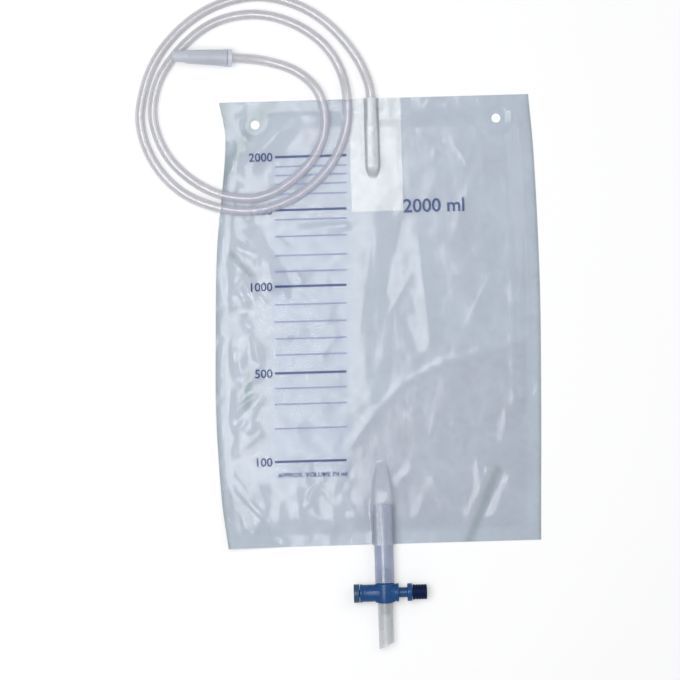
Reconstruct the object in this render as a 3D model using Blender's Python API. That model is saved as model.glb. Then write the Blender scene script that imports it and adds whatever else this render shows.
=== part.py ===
"""Urine drainage bag, lying flat with its inlet tube coiled over it.

Metres, +Z up, the bag's top edge towards +Y. The origin is on the floor, under
the middle of the bag and its drain. The pieces, from the floor up and from the
connector to the spout: two welded films, a flat non-return sleeve, the inlet
tube, a stepped catheter connector in its cap, the outlet tube, a push-pull
drain tap with its spool, and a short spout.
"""
import math

import bmesh
import bpy
from mathutils import Matrix, Vector

# Fits
GAP = 0.0003                  # clearance between two pieces that touch
TINY = 1e-7                   # rounding allowed when places are compared
FLOOR_GAP = 0.0001            # the tube's clearance from the floor

# Bag films
BAG_WIDTH = 0.229             # widest, low on the bag
BAG_HEIGHT = 0.312
FILM = 0.0004
WELD_WIDTH = 0.008
SLACK = 0.0017                # how far the front film stands off inside the weld
SLACK_RISE = 0.013            # distance over which it gets there
PRESSED = 0.0010              # what the tube's loops leave of it
PRESS_WIDTH = 0.0075          # the film lies pressed this far to each side of a loop's axis
PRESS_REACH = 0.014           # distance over which it is free again
TENT_POWER = 0.8              # fullness of a film's rise over a tube
# How far each side is drawn in: share of the height from the top, distance
LEFT_DRAW = ((0.0, 0.0082), (0.07, 0.0118), (0.14, 0.0108), (0.33, 0.0039), (0.55, 0.0010),
             (0.71, 0.0), (0.89, 0.0023), (1.0, 0.0062))
RIGHT_DRAW = ((0.0, 0.0044), (0.14, 0.0017), (0.42, 0.0), (0.69, 0.0014), (0.91, 0.0034),
              (1.0, 0.0042))

# Hanging eyelets, punched through a round weld
EYELET_BORE = 0.0064
EYELET_PAD = 0.0145
EYELET_DROP = 0.0162          # from the top edge to the middle of the hole
EYELET_LEFT = 0.0815          # from the bag's middle line
EYELET_RIGHT = 0.0871
EYELET_CUT = 0.01             # how far the punch reaches above and below the floor

# Non-return sleeve: two leaves of film, welded in at the top edge
LEAF = 0.00025
SLEEVE_WIDTH = 0.036
SLEEVE_LENGTH = 0.079
SLEEVE_SHIFT = 0.0025         # to the right of the middle line
SLEEVE_TENT = 0.0135          # half-width of the front leaf's rise over the tube
SLEEVE_EASE = 0.0015          # the front film stays clear this far beside the leaves
SLEEVE_RUN_OUT = 0.005        # and comes down over this

# Inlet tube
INLET_TUBE = 0.0068           # outer diameter
INLET_REACH = 0.0458          # inside the bag
LOOP_STATIONS = 2             # curve points from each route point to the next

# Catheter connector and its cap
SOCKET_DEPTH = 0.009
SOCKET_WALL = 0.0009
FLANGE_DIAMETER = 0.0126
FLANGE_THICKNESS = 0.003
SEAT_LENGTH = 0.008
NOZZLE_LENGTH = 0.030         # from the seat to the tip, in equal steps
NOZZLE_STEPS = 3
NOZZLE_TIP = 0.0050
NOZZLE_BORE = 0.0034
NOZZLE_TAPER = 0.0004         # how much each step's radius falls towards the tip
CAP_WALL = 0.0009
CAP_TIP = 0.0076
CAP_RIM = 0.0003              # how far the rim stands proud
CAP_RIM_WIDTH = 0.0016
CAP_DOME = 0.6                # depth of its domed tip, as a share of the tip's radius
CONNECTOR_HEADING = 177.5     # degrees from +X, seen from above
CONNECTOR_TILT = 10.0         # degrees up: it lies half across a loop of its tube
CONNECTOR_FACE = (-0.0966, 0.0305)   # middle of its flange from the inlet, in the plane

# Outlet tube
OUTLET_TUBE = 0.0134
OUTLET_WALL = 0.00135
OUTLET_REACH = 0.0282         # inside the bag
OUTLET_DROP = 0.0334          # from the bag's bottom edge to the tap's axis
OUTLET_TENT = 0.018           # half-width of the front film's rise over the tube
OUTLET_RUN_OUT = 0.030        # length over which that rise dies away past the tube's end

# Tap housing
BARREL_DIAMETER = 0.0128
BARREL_BORE = 0.0083
BARREL_LEFT = 0.0176          # from the outlet's axis to the closed-side end
BARREL_MOUTH = 0.0006         # bore left past the outermost seal
BOSS_DIAMETER = 0.0140
BOSS_HALF = 0.0066
SPIGOT_LENGTH = 0.010         # the upper one, in the outlet tube
SPOUT_SPIGOT_LENGTH = 0.0085
SPIGOT_WALL = 0.0016
SPIGOT_CHAMFER = 0.0007
PORT = 0.0040

# Tap spool, drawn out to the right: shut
TRAVEL = 0.0056
LAND_CLEARANCE = 0.0006
RING = 0.0012                 # thickness of a seal ring
RING_MARGIN = 0.0002          # from the port's edge to a ring
SPOOL_SHAFT = 0.0052
SPOOL_WAIST = 0.0036
SPOOL_GUIDE = 0.0030          # guide land left in the barrel when the spool is pushed in
GROOVE_LAND = 0.0006          # land left beside a groove
END_FLANGE_DIAMETER = 0.0130
END_FLANGE_THICKNESS = 0.0040
END_STUB = 0.0048
COLLAR_DIAMETER = 0.0124
COLLAR_THICKNESS = 0.0034
KNOB_STUB = 0.0056
KNOB_DIAMETER = 0.0106
KNOB_LENGTH = 0.0100
SOCKET_FLOOR = 0.0008         # wall left behind a blind socket
EDGE = 0.0005                 # broken edges of turned pieces

# Spout
SPOUT_TUBE = 0.0104
SPOUT_WALL = 0.0011
SPOUT_LENGTH = 0.0323
SPOUT_SLANT = 0.0046          # how much shorter its right side is cut

# Facets
ROUND = 32
SMALL_ROUND = 20
RING_SIDES = 6
DOME_SIDES = 4
SMOOTH_BELOW = 35             # degrees: a turned piece's edges sharper than this stay sharp
FILM_SMOOTH_BELOW = 60
COLUMN_STEP = 0.0094
ROW_STEP = 0.0098
BACK_ROW_STEP = 0.049
SMALL_TUBE_LINES = (0.0, 0.60, 0.97)           # film grid lines beside a tube, in tube radii
LARGE_TUBE_LINES = (0.73, 1.00, 1.30, 1.75)
SEAM_LINES = (0.0, 0.5, 1.0, 1.5, 2.2, 3.1)    # and near a seam, in weld widths
SLEEVE_TAIL_ROWS = 6          # rows from the tube's end to the sleeve's

# Levels and places that follow from the sizes above
TOP = (BAG_HEIGHT + OUTLET_DROP + BOSS_HALF + GAP + SPOUT_LENGTH) / 2
BOTTOM = TOP - BAG_HEIGHT
TAP_Y = BOTTOM - OUTLET_DROP
WELD_LEVEL = FILM + GAP
LEAF_LEVEL = FILM + GAP
FRONT_LEAF_LEVEL = LEAF_LEVEL + LEAF + GAP
SLEEVE_RISE = FRONT_LEAF_LEVEL + LEAF + GAP - WELD_LEVEL
INLET_RADIUS = INLET_TUBE / 2
INLET_Z = FRONT_LEAF_LEVEL + INLET_RADIUS
OUTLET_RADIUS = OUTLET_TUBE / 2
OUTLET_Z = WELD_LEVEL + OUTLET_RADIUS
SEAL_OFFSET = PORT / 2 + RING_MARGIN + RING / 2
BARREL_RIGHT = SEAL_OFFSET + TRAVEL + RING / 2 + BARREL_MOUTH
FLOOR_Z = INLET_RADIUS + FLOOR_GAP
ON_BAG_Z = WELD_LEVEL + FILM + PRESSED + 2 * GAP + INLET_RADIUS
OVER_EDGE_Z = WELD_LEVEL + FILM + SLEEVE_RISE + GAP + INLET_RADIUS

# Inlet tube's route from the top edge: x, y from the inlet, and its height
ROUTE = (
    (0.0000, -INLET_REACH, INLET_Z),
    (0.0000, 0.0000, INLET_Z),
    (-0.0007, 0.0070, INLET_Z),
    (-0.0049, 0.0203, FLOOR_Z),
    (-0.0170, 0.0401, FLOOR_Z),
    (-0.0407, 0.0618, FLOOR_Z),
    (-0.0768, 0.0733, FLOOR_Z),
    (-0.1075, 0.0672, FLOOR_Z),
    (-0.1398, 0.0439, FLOOR_Z),
    (-0.1512, 0.0278, FLOOR_Z),
    (-0.1585, 0.0090, FLOOR_Z),
    (-0.1616, -0.0104, FLOOR_Z),
    (-0.1538, -0.0388, FLOOR_Z),
    (-0.1350, -0.0612, FLOOR_Z),
    (-0.1125, -0.0724, OVER_EDGE_Z),
    (-0.0805, -0.0760, ON_BAG_Z),
    (-0.0510, -0.0655, ON_BAG_Z),
    (-0.0294, -0.0459, ON_BAG_Z),
    (-0.0180, -0.0215, ON_BAG_Z),
    (-0.0168, 0.0020, ON_BAG_Z),
    (-0.0203, 0.0190, FLOOR_Z),
    (-0.0289, 0.0348, FLOOR_Z),
    (-0.0515, 0.0530, FLOOR_Z),
    (-0.0800, 0.0608, FLOOR_Z),
    (-0.1074, 0.0560, FLOOR_Z),
    (-0.1330, 0.0372, FLOOR_Z),
    (-0.1487, 0.0136, FLOOR_Z),
    (-0.1526, -0.0071, FLOOR_Z),
    (-0.1440, -0.0350, FLOOR_Z),
    (-0.1275, -0.0530, FLOOR_Z),
    (-0.1063, -0.0646, OVER_EDGE_Z),
    (-0.0798, -0.0671, ON_BAG_Z),
    (-0.0532, -0.0532, ON_BAG_Z),
    (-0.0371, -0.0340, ON_BAG_Z),
    (-0.0324, -0.0111, ON_BAG_Z),
    (-0.0371, 0.0057, OVER_EDGE_Z),
    (-0.0490, 0.0185, FLOOR_Z),
    (-0.0690, 0.0270, FLOOR_Z),
)

# Folds of the front film: start x, y and end x, y from the middle of the top edge,
# half-width, height (a valley is negative)
FOLDS = (
    (-0.0830, -0.0033, -0.1020, -0.0393, 0.0055, 0.0024),
    (-0.0500, -0.0043, -0.0900, -0.0503, 0.0065, 0.0016),
    (-0.0925, -0.0363, -0.0790, -0.0623, 0.0050, 0.0012),
    (-0.0950, -0.0863, -0.0705, -0.1283, 0.0060, 0.0030),
    (-0.0740, -0.0913, -0.0640, -0.1123, 0.0050, 0.0014),
    (-0.0950, -0.1423, -0.0970, -0.2623, 0.0075, 0.0018),
    (-0.0620, -0.1623, -0.0480, -0.2223, 0.0080, 0.0010),
    (-0.0370, -0.0883, -0.0180, -0.0943, 0.0050, 0.0016),
    (0.0040, -0.0833, -0.0100, -0.1473, 0.0110, 0.0022),
    (0.0190, -0.0833, -0.0060, -0.1723, 0.0080, -0.0012),
    (0.0270, -0.0863, 0.0380, -0.1403, 0.0055, 0.0026),
    (0.0380, -0.1403, 0.0415, -0.1903, 0.0060, 0.0022),
    (0.0395, -0.1183, 0.0500, -0.1773, 0.0055, -0.0012),
    (-0.0210, -0.2423, -0.0050, -0.2213, 0.0055, 0.0020),
    (-0.0050, -0.2213, 0.0150, -0.2008, 0.0055, 0.0020),
    (0.0150, -0.2008, 0.0440, -0.1863, 0.0060, 0.0018),
    (0.0440, -0.1863, 0.0920, -0.1733, 0.0060, 0.0016),
    (0.0940, -0.0923, 0.0985, -0.1643, 0.0050, 0.0022),
    (0.0985, -0.1643, 0.0940, -0.2353, 0.0050, 0.0022),
    (0.0740, -0.2673, 0.0560, -0.3023, 0.0055, 0.0026),
    (0.0830, -0.2693, 0.0650, -0.3023, 0.0060, -0.0014),
    (-0.1020, -0.2663, -0.0840, -0.2893, 0.0055, 0.0028),
    (-0.0840, -0.2893, -0.0720, -0.3043, 0.0055, 0.0024),
    (-0.0600, -0.2723, -0.0560, -0.3003, 0.0050, 0.0020),
    (-0.0330, -0.2693, -0.0370, -0.3003, 0.0055, 0.0022),
    (0.0300, -0.0303, 0.0340, -0.0643, 0.0060, 0.0012),
    (0.0560, -0.0223, 0.0540, -0.0573, 0.0060, 0.0012),
    (0.0170, -0.2703, 0.0270, -0.2523, 0.0050, 0.0018),
)

# Colours: linear red, green, blue and roughness
CLEAR_FILM = ((0.60, 0.66, 0.74), 0.25)
WHITE_FILM = ((0.74, 0.78, 0.82), 0.30)
SLEEVE_FILM = ((0.80, 0.86, 0.90), 0.35)
CLEAR_TUBE = ((0.55, 0.57, 0.58), 0.15)
MILKY_PLASTIC = ((0.62, 0.66, 0.76), 0.30)
BLUISH_TUBE = ((0.42, 0.46, 0.62), 0.20)
TAP_BLUE = ((0.03, 0.13, 0.42), 0.30)
TAP_NAVY = ((0.01, 0.02, 0.12), 0.35)
SEAL_RUBBER = ((0.03, 0.03, 0.035), 0.60)
GREY_TUBE = ((0.48, 0.50, 0.50), 0.25)


# Helpers

def empty_scene():
    for thing in list(bpy.data.objects):
        bpy.data.objects.remove(thing, do_unlink=True)


def plastic(name, look):
    """A Principled material of one colour and roughness."""
    colour, roughness = look
    material = bpy.data.materials.new(name)
    material.use_nodes = True
    shader = material.node_tree.nodes["Principled BSDF"]
    shader.inputs["Base Color"].default_value = (*colour, 1.0)
    shader.inputs["Roughness"].default_value = roughness
    return material


def add_object(name, mesh, look):
    thing = bpy.data.objects.new(name, mesh)
    bpy.context.scene.collection.objects.link(thing)
    if look:
        mesh.materials.append(plastic(name, look))
    return thing


def as_guide(thing):
    """Mark a shape that only cuts or joins another one."""
    thing.hide_render = True
    thing.display_type = "WIRE"
    return thing


def smooth_step(t):
    t = min(max(t, 0.0), 1.0)
    return t * t * (3 - 2 * t)


def smooth_value(knots, values, at):
    """Read a smooth curve through values given at rising knots."""
    last = len(knots) - 1
    i = 0
    while i < last - 1 and at > knots[i + 1]:
        i += 1

    def slope(k):
        low, high = max(k - 1, 0), min(k + 1, last)
        return (values[high] - values[low]) / (knots[high] - knots[low])

    span = knots[i + 1] - knots[i]
    t = (at - knots[i]) / span
    return (values[i] * (1 + 2 * t) * (1 - t) ** 2 + slope(i) * (span * t * (1 - t) ** 2)
            + values[i + 1] * t * t * (3 - 2 * t) - slope(i + 1) * (span * t * t * (1 - t)))


def turned(name, outline, look, closed=False, sides=ROUND):
    """Spin an outline of (along, radius) points round the local X axis.

    An open outline starts and ends on the axis. A closed one makes a tube or ring.
    """
    mesh = bpy.data.meshes.new(name)
    bm = bmesh.new()
    points = [bm.verts.new((along, 0.0, radius)) for along, radius in outline]
    edges = [bm.edges.new(pair) for pair in zip(points, points[1:])]
    if closed:
        edges.append(bm.edges.new((points[-1], points[0])))
    bmesh.ops.spin(bm, geom=points + edges, cent=(0, 0, 0), axis=(1, 0, 0),
                   angle=math.tau, steps=sides, use_merge=True)
    bmesh.ops.remove_doubles(bm, verts=bm.verts, dist=TINY)
    bmesh.ops.recalc_face_normals(bm, faces=bm.faces)
    bm.to_mesh(mesh)
    bm.free()
    mesh.shade_smooth()
    mesh.set_sharp_from_angle(angle=math.radians(SMOOTH_BELOW))
    return add_object(name, mesh, look)


def broken_rim(start, end, radius):
    """Outline of a disc's rim, with its two edges broken."""
    return [(start, radius - EDGE), (start + EDGE, radius), (end - EDGE, radius), (end, radius - EDGE)]


def boolean(thing, other, operation):
    cut = thing.modifiers.new(other.name, "BOOLEAN")
    cut.object = as_guide(other)
    cut.operation = operation
    cut.solver = "EXACT"


# Films

def edge_draw(draw, y):
    share = min(max((TOP - y) / BAG_HEIGHT, 0.0), 1.0)
    return smooth_value([p[0] for p in draw], [p[1] for p in draw], share)


def left_edge(y):
    return -BAG_WIDTH / 2 + edge_draw(LEFT_DRAW, y)


def right_edge(y):
    return BAG_WIDTH / 2 - edge_draw(RIGHT_DRAW, y)


def from_weld(x, y):
    """Distance inside the inner edge of the welded border."""
    return min(x - left_edge(y), right_edge(y) - x, TOP - y, y - BOTTOM) - WELD_WIDTH


def tent(x, half_width):
    """Share of a film's rise over a tube, x from the tube's axis."""
    if abs(x) >= half_width:
        return 0.0
    return (0.5 + 0.5 * math.cos(math.pi * x / half_width)) ** TENT_POWER


def to_segment(x, y, x0, y0, x1, y1):
    """Distance from a point to a straight stretch."""
    dx, dy = x1 - x0, y1 - y0
    t = min(max(((x - x0) * dx + (y - y0) * dy) / (dx * dx + dy * dy), 0.0), 1.0)
    return math.hypot(x - x0 - t * dx, y - y0 - t * dy)


def seam_share(from_edge):
    """1 in the weld, 0 well inside the bag."""
    return 1 - smooth_step((from_edge - WELD_WIDTH) / (2 * WELD_WIDTH))


def over_tube(x, from_edge, tube_radius, half_width):
    """Rise of the front layers over a tube: close round it in the weld, a tent inside."""
    reach = tube_radius + GAP
    seam = wing(x, reach, half_width) + arc(x, reach)
    inside = max(2 * reach * tent(x, half_width), seam)
    return inside + (seam - inside) * seam_share(from_edge)


def under_tube(x, from_edge, tube_radius, half_width):
    """Rise of the back layers up round a tube where it crosses the weld."""
    reach = tube_radius + GAP
    return (wing(x, reach, half_width) - arc(x, reach)) * seam_share(from_edge)


def wing(x, reach, half_width):
    """Height at which the welded films meet beside a tube."""
    return reach * tent(max(abs(x) - reach, 0.0), half_width - reach)


def arc(x, reach):
    return math.sqrt(max(reach * reach - x * x, 0.0))


def outlet_lift(x, y):
    """Rise of the front film over the outlet tube."""
    past_end = (y - (BOTTOM + OUTLET_REACH + 2 * GAP)) / OUTLET_RUN_OUT
    return over_tube(x, y - BOTTOM, OUTLET_RADIUS, OUTLET_TENT) * (1 - smooth_step(past_end))


def inlet_lift(x, y):
    """Rise of the front leaf, and of the film over it, over the inlet tube."""
    past_end = (TOP - INLET_REACH - 2 * GAP - y) / SLEEVE_TENT
    return over_tube(x, TOP - y, INLET_RADIUS, SLEEVE_TENT) * (1 - smooth_step(past_end))


def back_lift(x, y):
    """Rise of the back film and the back leaf off the floor."""
    if y > (TOP + BOTTOM) / 2:
        return under_tube(x, TOP - y, INLET_RADIUS, SLEEVE_TENT)
    return under_tube(x, y - BOTTOM, OUTLET_RADIUS, OUTLET_TENT)


def sleeve_lift(x, y):
    """Room for the two leaves under the front film."""
    side = (abs(x - SLEEVE_SHIFT) - SLEEVE_WIDTH / 2 - SLEEVE_EASE) / SLEEVE_RUN_OUT
    foot = (TOP - SLEEVE_LENGTH - GAP - y) / SLEEVE_RUN_OUT
    return SLEEVE_RISE * (1 - smooth_step(side)) * (1 - smooth_step(foot))


def fold_height(x, y):
    """Folds of the front film, added up."""
    height = 0.0
    for x0, y0, x1, y1, width, rise in FOLDS:
        away = to_segment(x, y - TOP, x0, y0, x1, y1)
        height += rise * math.exp(-(away / width) ** 2)
    return height


def loop_distance(x, y):
    """Distance in plan to the part of the inlet tube that lies on the bag."""
    stretches = zip(ROUTE[3:], ROUTE[4:])
    return min(to_segment(x, y - TOP, a[0], a[1], b[0], b[1]) for a, b in stretches)


def front_level(x, y):
    """Height of the front film's underside."""
    inside = from_weld(x, y)
    slack = smooth_step(inside / SLACK_RISE) * max(SLACK + fold_height(x, y), 0.0)
    for side, eyelet in ((-1, EYELET_LEFT), (1, EYELET_RIGHT)):
        away = math.hypot(x - side * eyelet, y - TOP + EYELET_DROP) - EYELET_PAD / 2
        slack *= smooth_step(away / (EYELET_PAD / 2))
    pressed = min(slack, PRESSED)
    free = smooth_step((loop_distance(x, y) - PRESS_WIDTH) / PRESS_REACH)
    slack = pressed + (slack - pressed) * free
    return WELD_LEVEL + max(slack, outlet_lift(x, y), sleeve_lift(x, y) + inlet_lift(x, y))


def columns():
    """Grid lines out from the middle line, close over the tubes, then at the sleeve's edges."""
    small = [share * INLET_RADIUS for share in SMALL_TUBE_LINES]
    large = [share * OUTLET_RADIUS for share in LARGE_TUBE_LINES]
    return sorted(small + large + [SLEEVE_WIDTH / 2 - SLEEVE_SHIFT, SLEEVE_WIDTH / 2 + SLEEVE_SHIFT])


def film_columns(y):
    """Grid lines across the bag at one height, out to its two edges."""
    near = columns()
    lines = []
    for side, edge in ((-1, -left_edge(y)), (1, right_edge(y))):
        count = round((BAG_WIDTH / 2 - near[-1]) / COLUMN_STEP)
        far = [near[-1] + (edge - near[-1]) * i / count for i in range(1, count + 1)]
        lines.append([side * x for x in near + far])
    return lines[0][:0:-1] + lines[1]


def seam_drops():
    """Grid lines near a seam, as distances from the edge."""
    return [share * WELD_WIDTH for share in SEAM_LINES]


def sleeve_drops():
    """Grid lines down the sleeve, which the film over it shares."""
    upper = seam_drops()
    middle = (upper[-1] + INLET_REACH) / 2
    step = (SLEEVE_LENGTH - INLET_REACH) / SLEEVE_TAIL_ROWS
    tail = [INLET_REACH + step * i for i in range(1, SLEEVE_TAIL_ROWS + 1)]
    return upper + [middle, INLET_REACH] + tail


def even_steps(start, end, step):
    """Even steps from start up to end, both left out."""
    count = round((end - start) / step)
    return [start + (end - start) * i / count for i in range(1, count)]


def film_rows():
    """Grid lines down the front film: the sleeve's, even ones, then the outlet's."""
    upper = sleeve_drops()
    lower = [BAG_HEIGHT - d for d in (OUTLET_REACH + 2 * GAP, *reversed(seam_drops()[:-1]))]
    return [TOP - d for d in upper + even_steps(upper[-1], lower[0], ROW_STEP) + lower]


def film(name, rows, columns_at, level, thickness, look):
    """A film as a grid at the height of its underside, made thick by an extrusion."""
    mesh = bpy.data.meshes.new(name)
    bm = bmesh.new()
    grid = [[bm.verts.new((x, y, level(x, y))) for x in columns_at(y)] for y in rows]
    for upper, lower in zip(grid, grid[1:]):
        for i in range(len(upper) - 1):
            bm.faces.new((upper[i], lower[i], lower[i + 1], upper[i + 1]))
    added = bmesh.ops.extrude_face_region(bm, geom=bm.faces[:], use_keep_orig=True)
    top = [v for v in added["geom"] if isinstance(v, bmesh.types.BMVert)]
    bmesh.ops.translate(bm, verts=top, vec=(0, 0, thickness))
    bmesh.ops.recalc_face_normals(bm, faces=bm.faces)
    bm.to_mesh(mesh)
    bm.free()
    mesh.shade_smooth()
    mesh.set_sharp_from_angle(angle=math.radians(FILM_SMOOTH_BELOW))
    return add_object(name, mesh, look)


def punch_eyelets(sheet, guides):
    for guide in guides:
        boolean(sheet, guide, "DIFFERENCE")


def eyelet_guides():
    guides = []
    for name, x in (("eyelet_left_cut", -EYELET_LEFT), ("eyelet_right_cut", EYELET_RIGHT)):
        outline = [(-EYELET_CUT, 0.0), (-EYELET_CUT, EYELET_BORE / 2),
                   (EYELET_CUT, EYELET_BORE / 2), (EYELET_CUT, 0.0)]
        guide = turned(name, outline, None, sides=SMALL_ROUND)
        guide.rotation_euler = (0, math.pi / 2, 0)
        guide.location = (x, TOP - EYELET_DROP, 0)
        guides.append(guide)
    return guides


def back_rows():
    """The back film is flat but for its two seams, so it needs few rows."""
    near = seam_drops()
    far = [BAG_HEIGHT - d for d in reversed(near)]
    return [TOP - d for d in near + even_steps(near[-1], far[0], BACK_ROW_STEP) + far]


def back_columns(y):
    near = columns()
    left = [left_edge(y)] + [-x for x in reversed(near[1:])]
    return left + near + [right_edge(y)]


def make_films():
    guides = eyelet_guides()
    front = film("front_film", film_rows(), film_columns, front_level, FILM, CLEAR_FILM)
    back = film("back_film", back_rows(), back_columns, back_lift, FILM, WHITE_FILM)
    punch_eyelets(front, guides)
    punch_eyelets(back, guides)


# Non-return sleeve

def sleeve_columns(y):
    """The films' own grid lines, from the sleeve's left edge to its right one."""
    half = columns()
    lines = [-x for x in reversed(half[1:])] + half
    return [x for x in lines if abs(x - SLEEVE_SHIFT) <= SLEEVE_WIDTH / 2 + TINY]


def make_sleeve():
    rows = [TOP - d for d in sleeve_drops()]
    film("valve_leaf_back", rows, sleeve_columns,
         lambda x, y: LEAF_LEVEL + back_lift(x, y), LEAF, SLEEVE_FILM)
    film("valve_leaf_front", rows, sleeve_columns,
         lambda x, y: FRONT_LEAF_LEVEL + inlet_lift(x, y), LEAF, SLEEVE_FILM)


# Inlet tube

def connector_frame():
    """Place of the connector: its flange's tube-side face at the origin, nozzle along local X."""
    tilt = math.radians(CONNECTOR_TILT)
    height = FLANGE_DIAMETER / 2 * math.cos(tilt) + GAP
    place = Matrix.Translation((CONNECTOR_FACE[0], TOP + CONNECTOR_FACE[1], height))
    heading = Matrix.Rotation(math.radians(CONNECTOR_HEADING), 4, "Z")
    return place @ heading @ Matrix.Rotation(-tilt, 4, "Y")


def inlet_route():
    """The route's points, with the last three in line with the connector's socket."""
    frame = connector_frame()
    points = [Vector((x, TOP + y, z)) for x, y, z in ROUTE]
    for along in (-SOCKET_DEPTH, 0.0, SOCKET_DEPTH - GAP):
        points.append(frame @ Vector((along, 0, 0)))
    return points


def make_inlet_tube():
    route = inlet_route()
    knots = [0.0]
    for a, b in zip(route, route[1:]):
        knots.append(knots[-1] + (b - a).length)
    stations = []
    for low, high in zip(knots, knots[1:]):
        stations += [low + (high - low) * i / LOOP_STATIONS for i in range(LOOP_STATIONS)]
    stations.append(knots[-1])
    curve = bpy.data.curves.new("inlet_tube", "CURVE")
    curve.dimensions = "3D"
    curve.bevel_depth = INLET_RADIUS
    curve.bevel_resolution = 2
    curve.use_fill_caps = True
    spline = curve.splines.new("POLY")
    spline.points.add(len(stations) - 1)
    for point, station in zip(spline.points, stations):
        x, y, z = smooth_value(knots, route, station)
        point.co = (x, y, max(z, FLOOR_Z), 1.0)
    curve.materials.append(plastic("inlet_tube", CLEAR_TUBE))
    tube = bpy.data.objects.new("inlet_tube", curve)
    bpy.context.scene.collection.objects.link(tube)


# Catheter connector and cap

def seat_radius():
    return INLET_RADIUS + GAP + SOCKET_WALL


def nozzle_start():
    return FLANGE_THICKNESS + SEAT_LENGTH


def nozzle_radius(share):
    """Root radius of the nozzle, share 0 at its seat and 1 at its tip."""
    base = seat_radius() - GAP
    return base + (NOZZLE_TIP / 2 - base) * share


def make_connector():
    socket = INLET_RADIUS + GAP
    outline = broken_rim(0.0, FLANGE_THICKNESS, FLANGE_DIAMETER / 2)
    outline = [(0.0, socket)] + outline
    outline += [(FLANGE_THICKNESS, seat_radius()), (nozzle_start(), seat_radius())]
    step = NOZZLE_LENGTH / NOZZLE_STEPS
    for i in range(NOZZLE_STEPS):
        start = nozzle_start() + i * step
        outline.append((start, nozzle_radius((i + 1) / NOZZLE_STEPS) + NOZZLE_TAPER))
        outline.append((start + step, nozzle_radius((i + 1) / NOZZLE_STEPS)))
    tip = nozzle_start() + NOZZLE_LENGTH
    outline += [(tip, NOZZLE_BORE / 2), (SOCKET_DEPTH, NOZZLE_BORE / 2), (SOCKET_DEPTH, socket)]
    connector = turned("catheter_connector", outline, MILKY_PLASTIC, closed=True, sides=SMALL_ROUND)
    connector.matrix_world = connector_frame()


def make_cap():
    start = FLANGE_THICKNESS + GAP
    seat_end = nozzle_start()
    tip = nozzle_start() + NOZZLE_LENGTH
    mouth = seat_radius() + GAP
    inner_tip = NOZZLE_TIP / 2 + GAP
    shoulder = nozzle_start() + NOZZLE_LENGTH * (NOZZLE_STEPS - 1) / NOZZLE_STEPS
    shoulder_inner = nozzle_radius(1.0) + NOZZLE_TAPER + GAP
    mid_inner = nozzle_radius((NOZZLE_STEPS - 1) / NOZZLE_STEPS) + NOZZLE_TAPER + GAP
    outer_tip = max(CAP_TIP / 2, inner_tip + CAP_WALL)
    end = tip + GAP + CAP_WALL
    dome = outer_tip * CAP_DOME
    outline = [(end, 0.0)]
    for i in range(1, DOME_SIDES + 1):
        angle = math.pi / 2 * i / DOME_SIDES
        outline.append((end - dome + dome * math.cos(angle), outer_tip * math.sin(angle)))
    outline += [(shoulder + 2 * CAP_WALL, outer_tip + GAP),
                (shoulder, max(mid_inner, outer_tip) + CAP_WALL),
                (start + CAP_RIM_WIDTH + CAP_RIM, mouth + CAP_WALL),
                (start + CAP_RIM_WIDTH, mouth + CAP_WALL + CAP_RIM),
                (start, mouth + CAP_WALL + CAP_RIM),
                (start, mouth),
                (seat_end, mouth),
                (shoulder, mid_inner),
                (shoulder + CAP_WALL, shoulder_inner),
                (tip + GAP, inner_tip),
                (tip + GAP, 0.0)]
    cap = turned("connector_cap", outline, MILKY_PLASTIC, sides=SMALL_ROUND)
    cap.matrix_world = connector_frame()


# Outlet tube, tap and spout: local X of a turned piece runs along the tap's barrel

def place_on_tap(thing):
    thing.location = (0, TAP_Y, OUTLET_Z)
    return thing


def turn_along_y(thing):
    """Stand a turned piece across the barrel, its local X towards the bag."""
    thing.rotation_euler = (0, 0, math.pi / 2)
    return place_on_tap(thing)


def make_outlet_tube():
    start = BOSS_HALF + GAP
    end = OUTLET_DROP + OUTLET_REACH
    outer, inner = OUTLET_RADIUS, OUTLET_RADIUS - OUTLET_WALL
    turn_along_y(turned("outlet_tube", [(start, inner), (start, outer), (end, outer), (end, inner)],
                        BLUISH_TUBE, closed=True))


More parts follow.
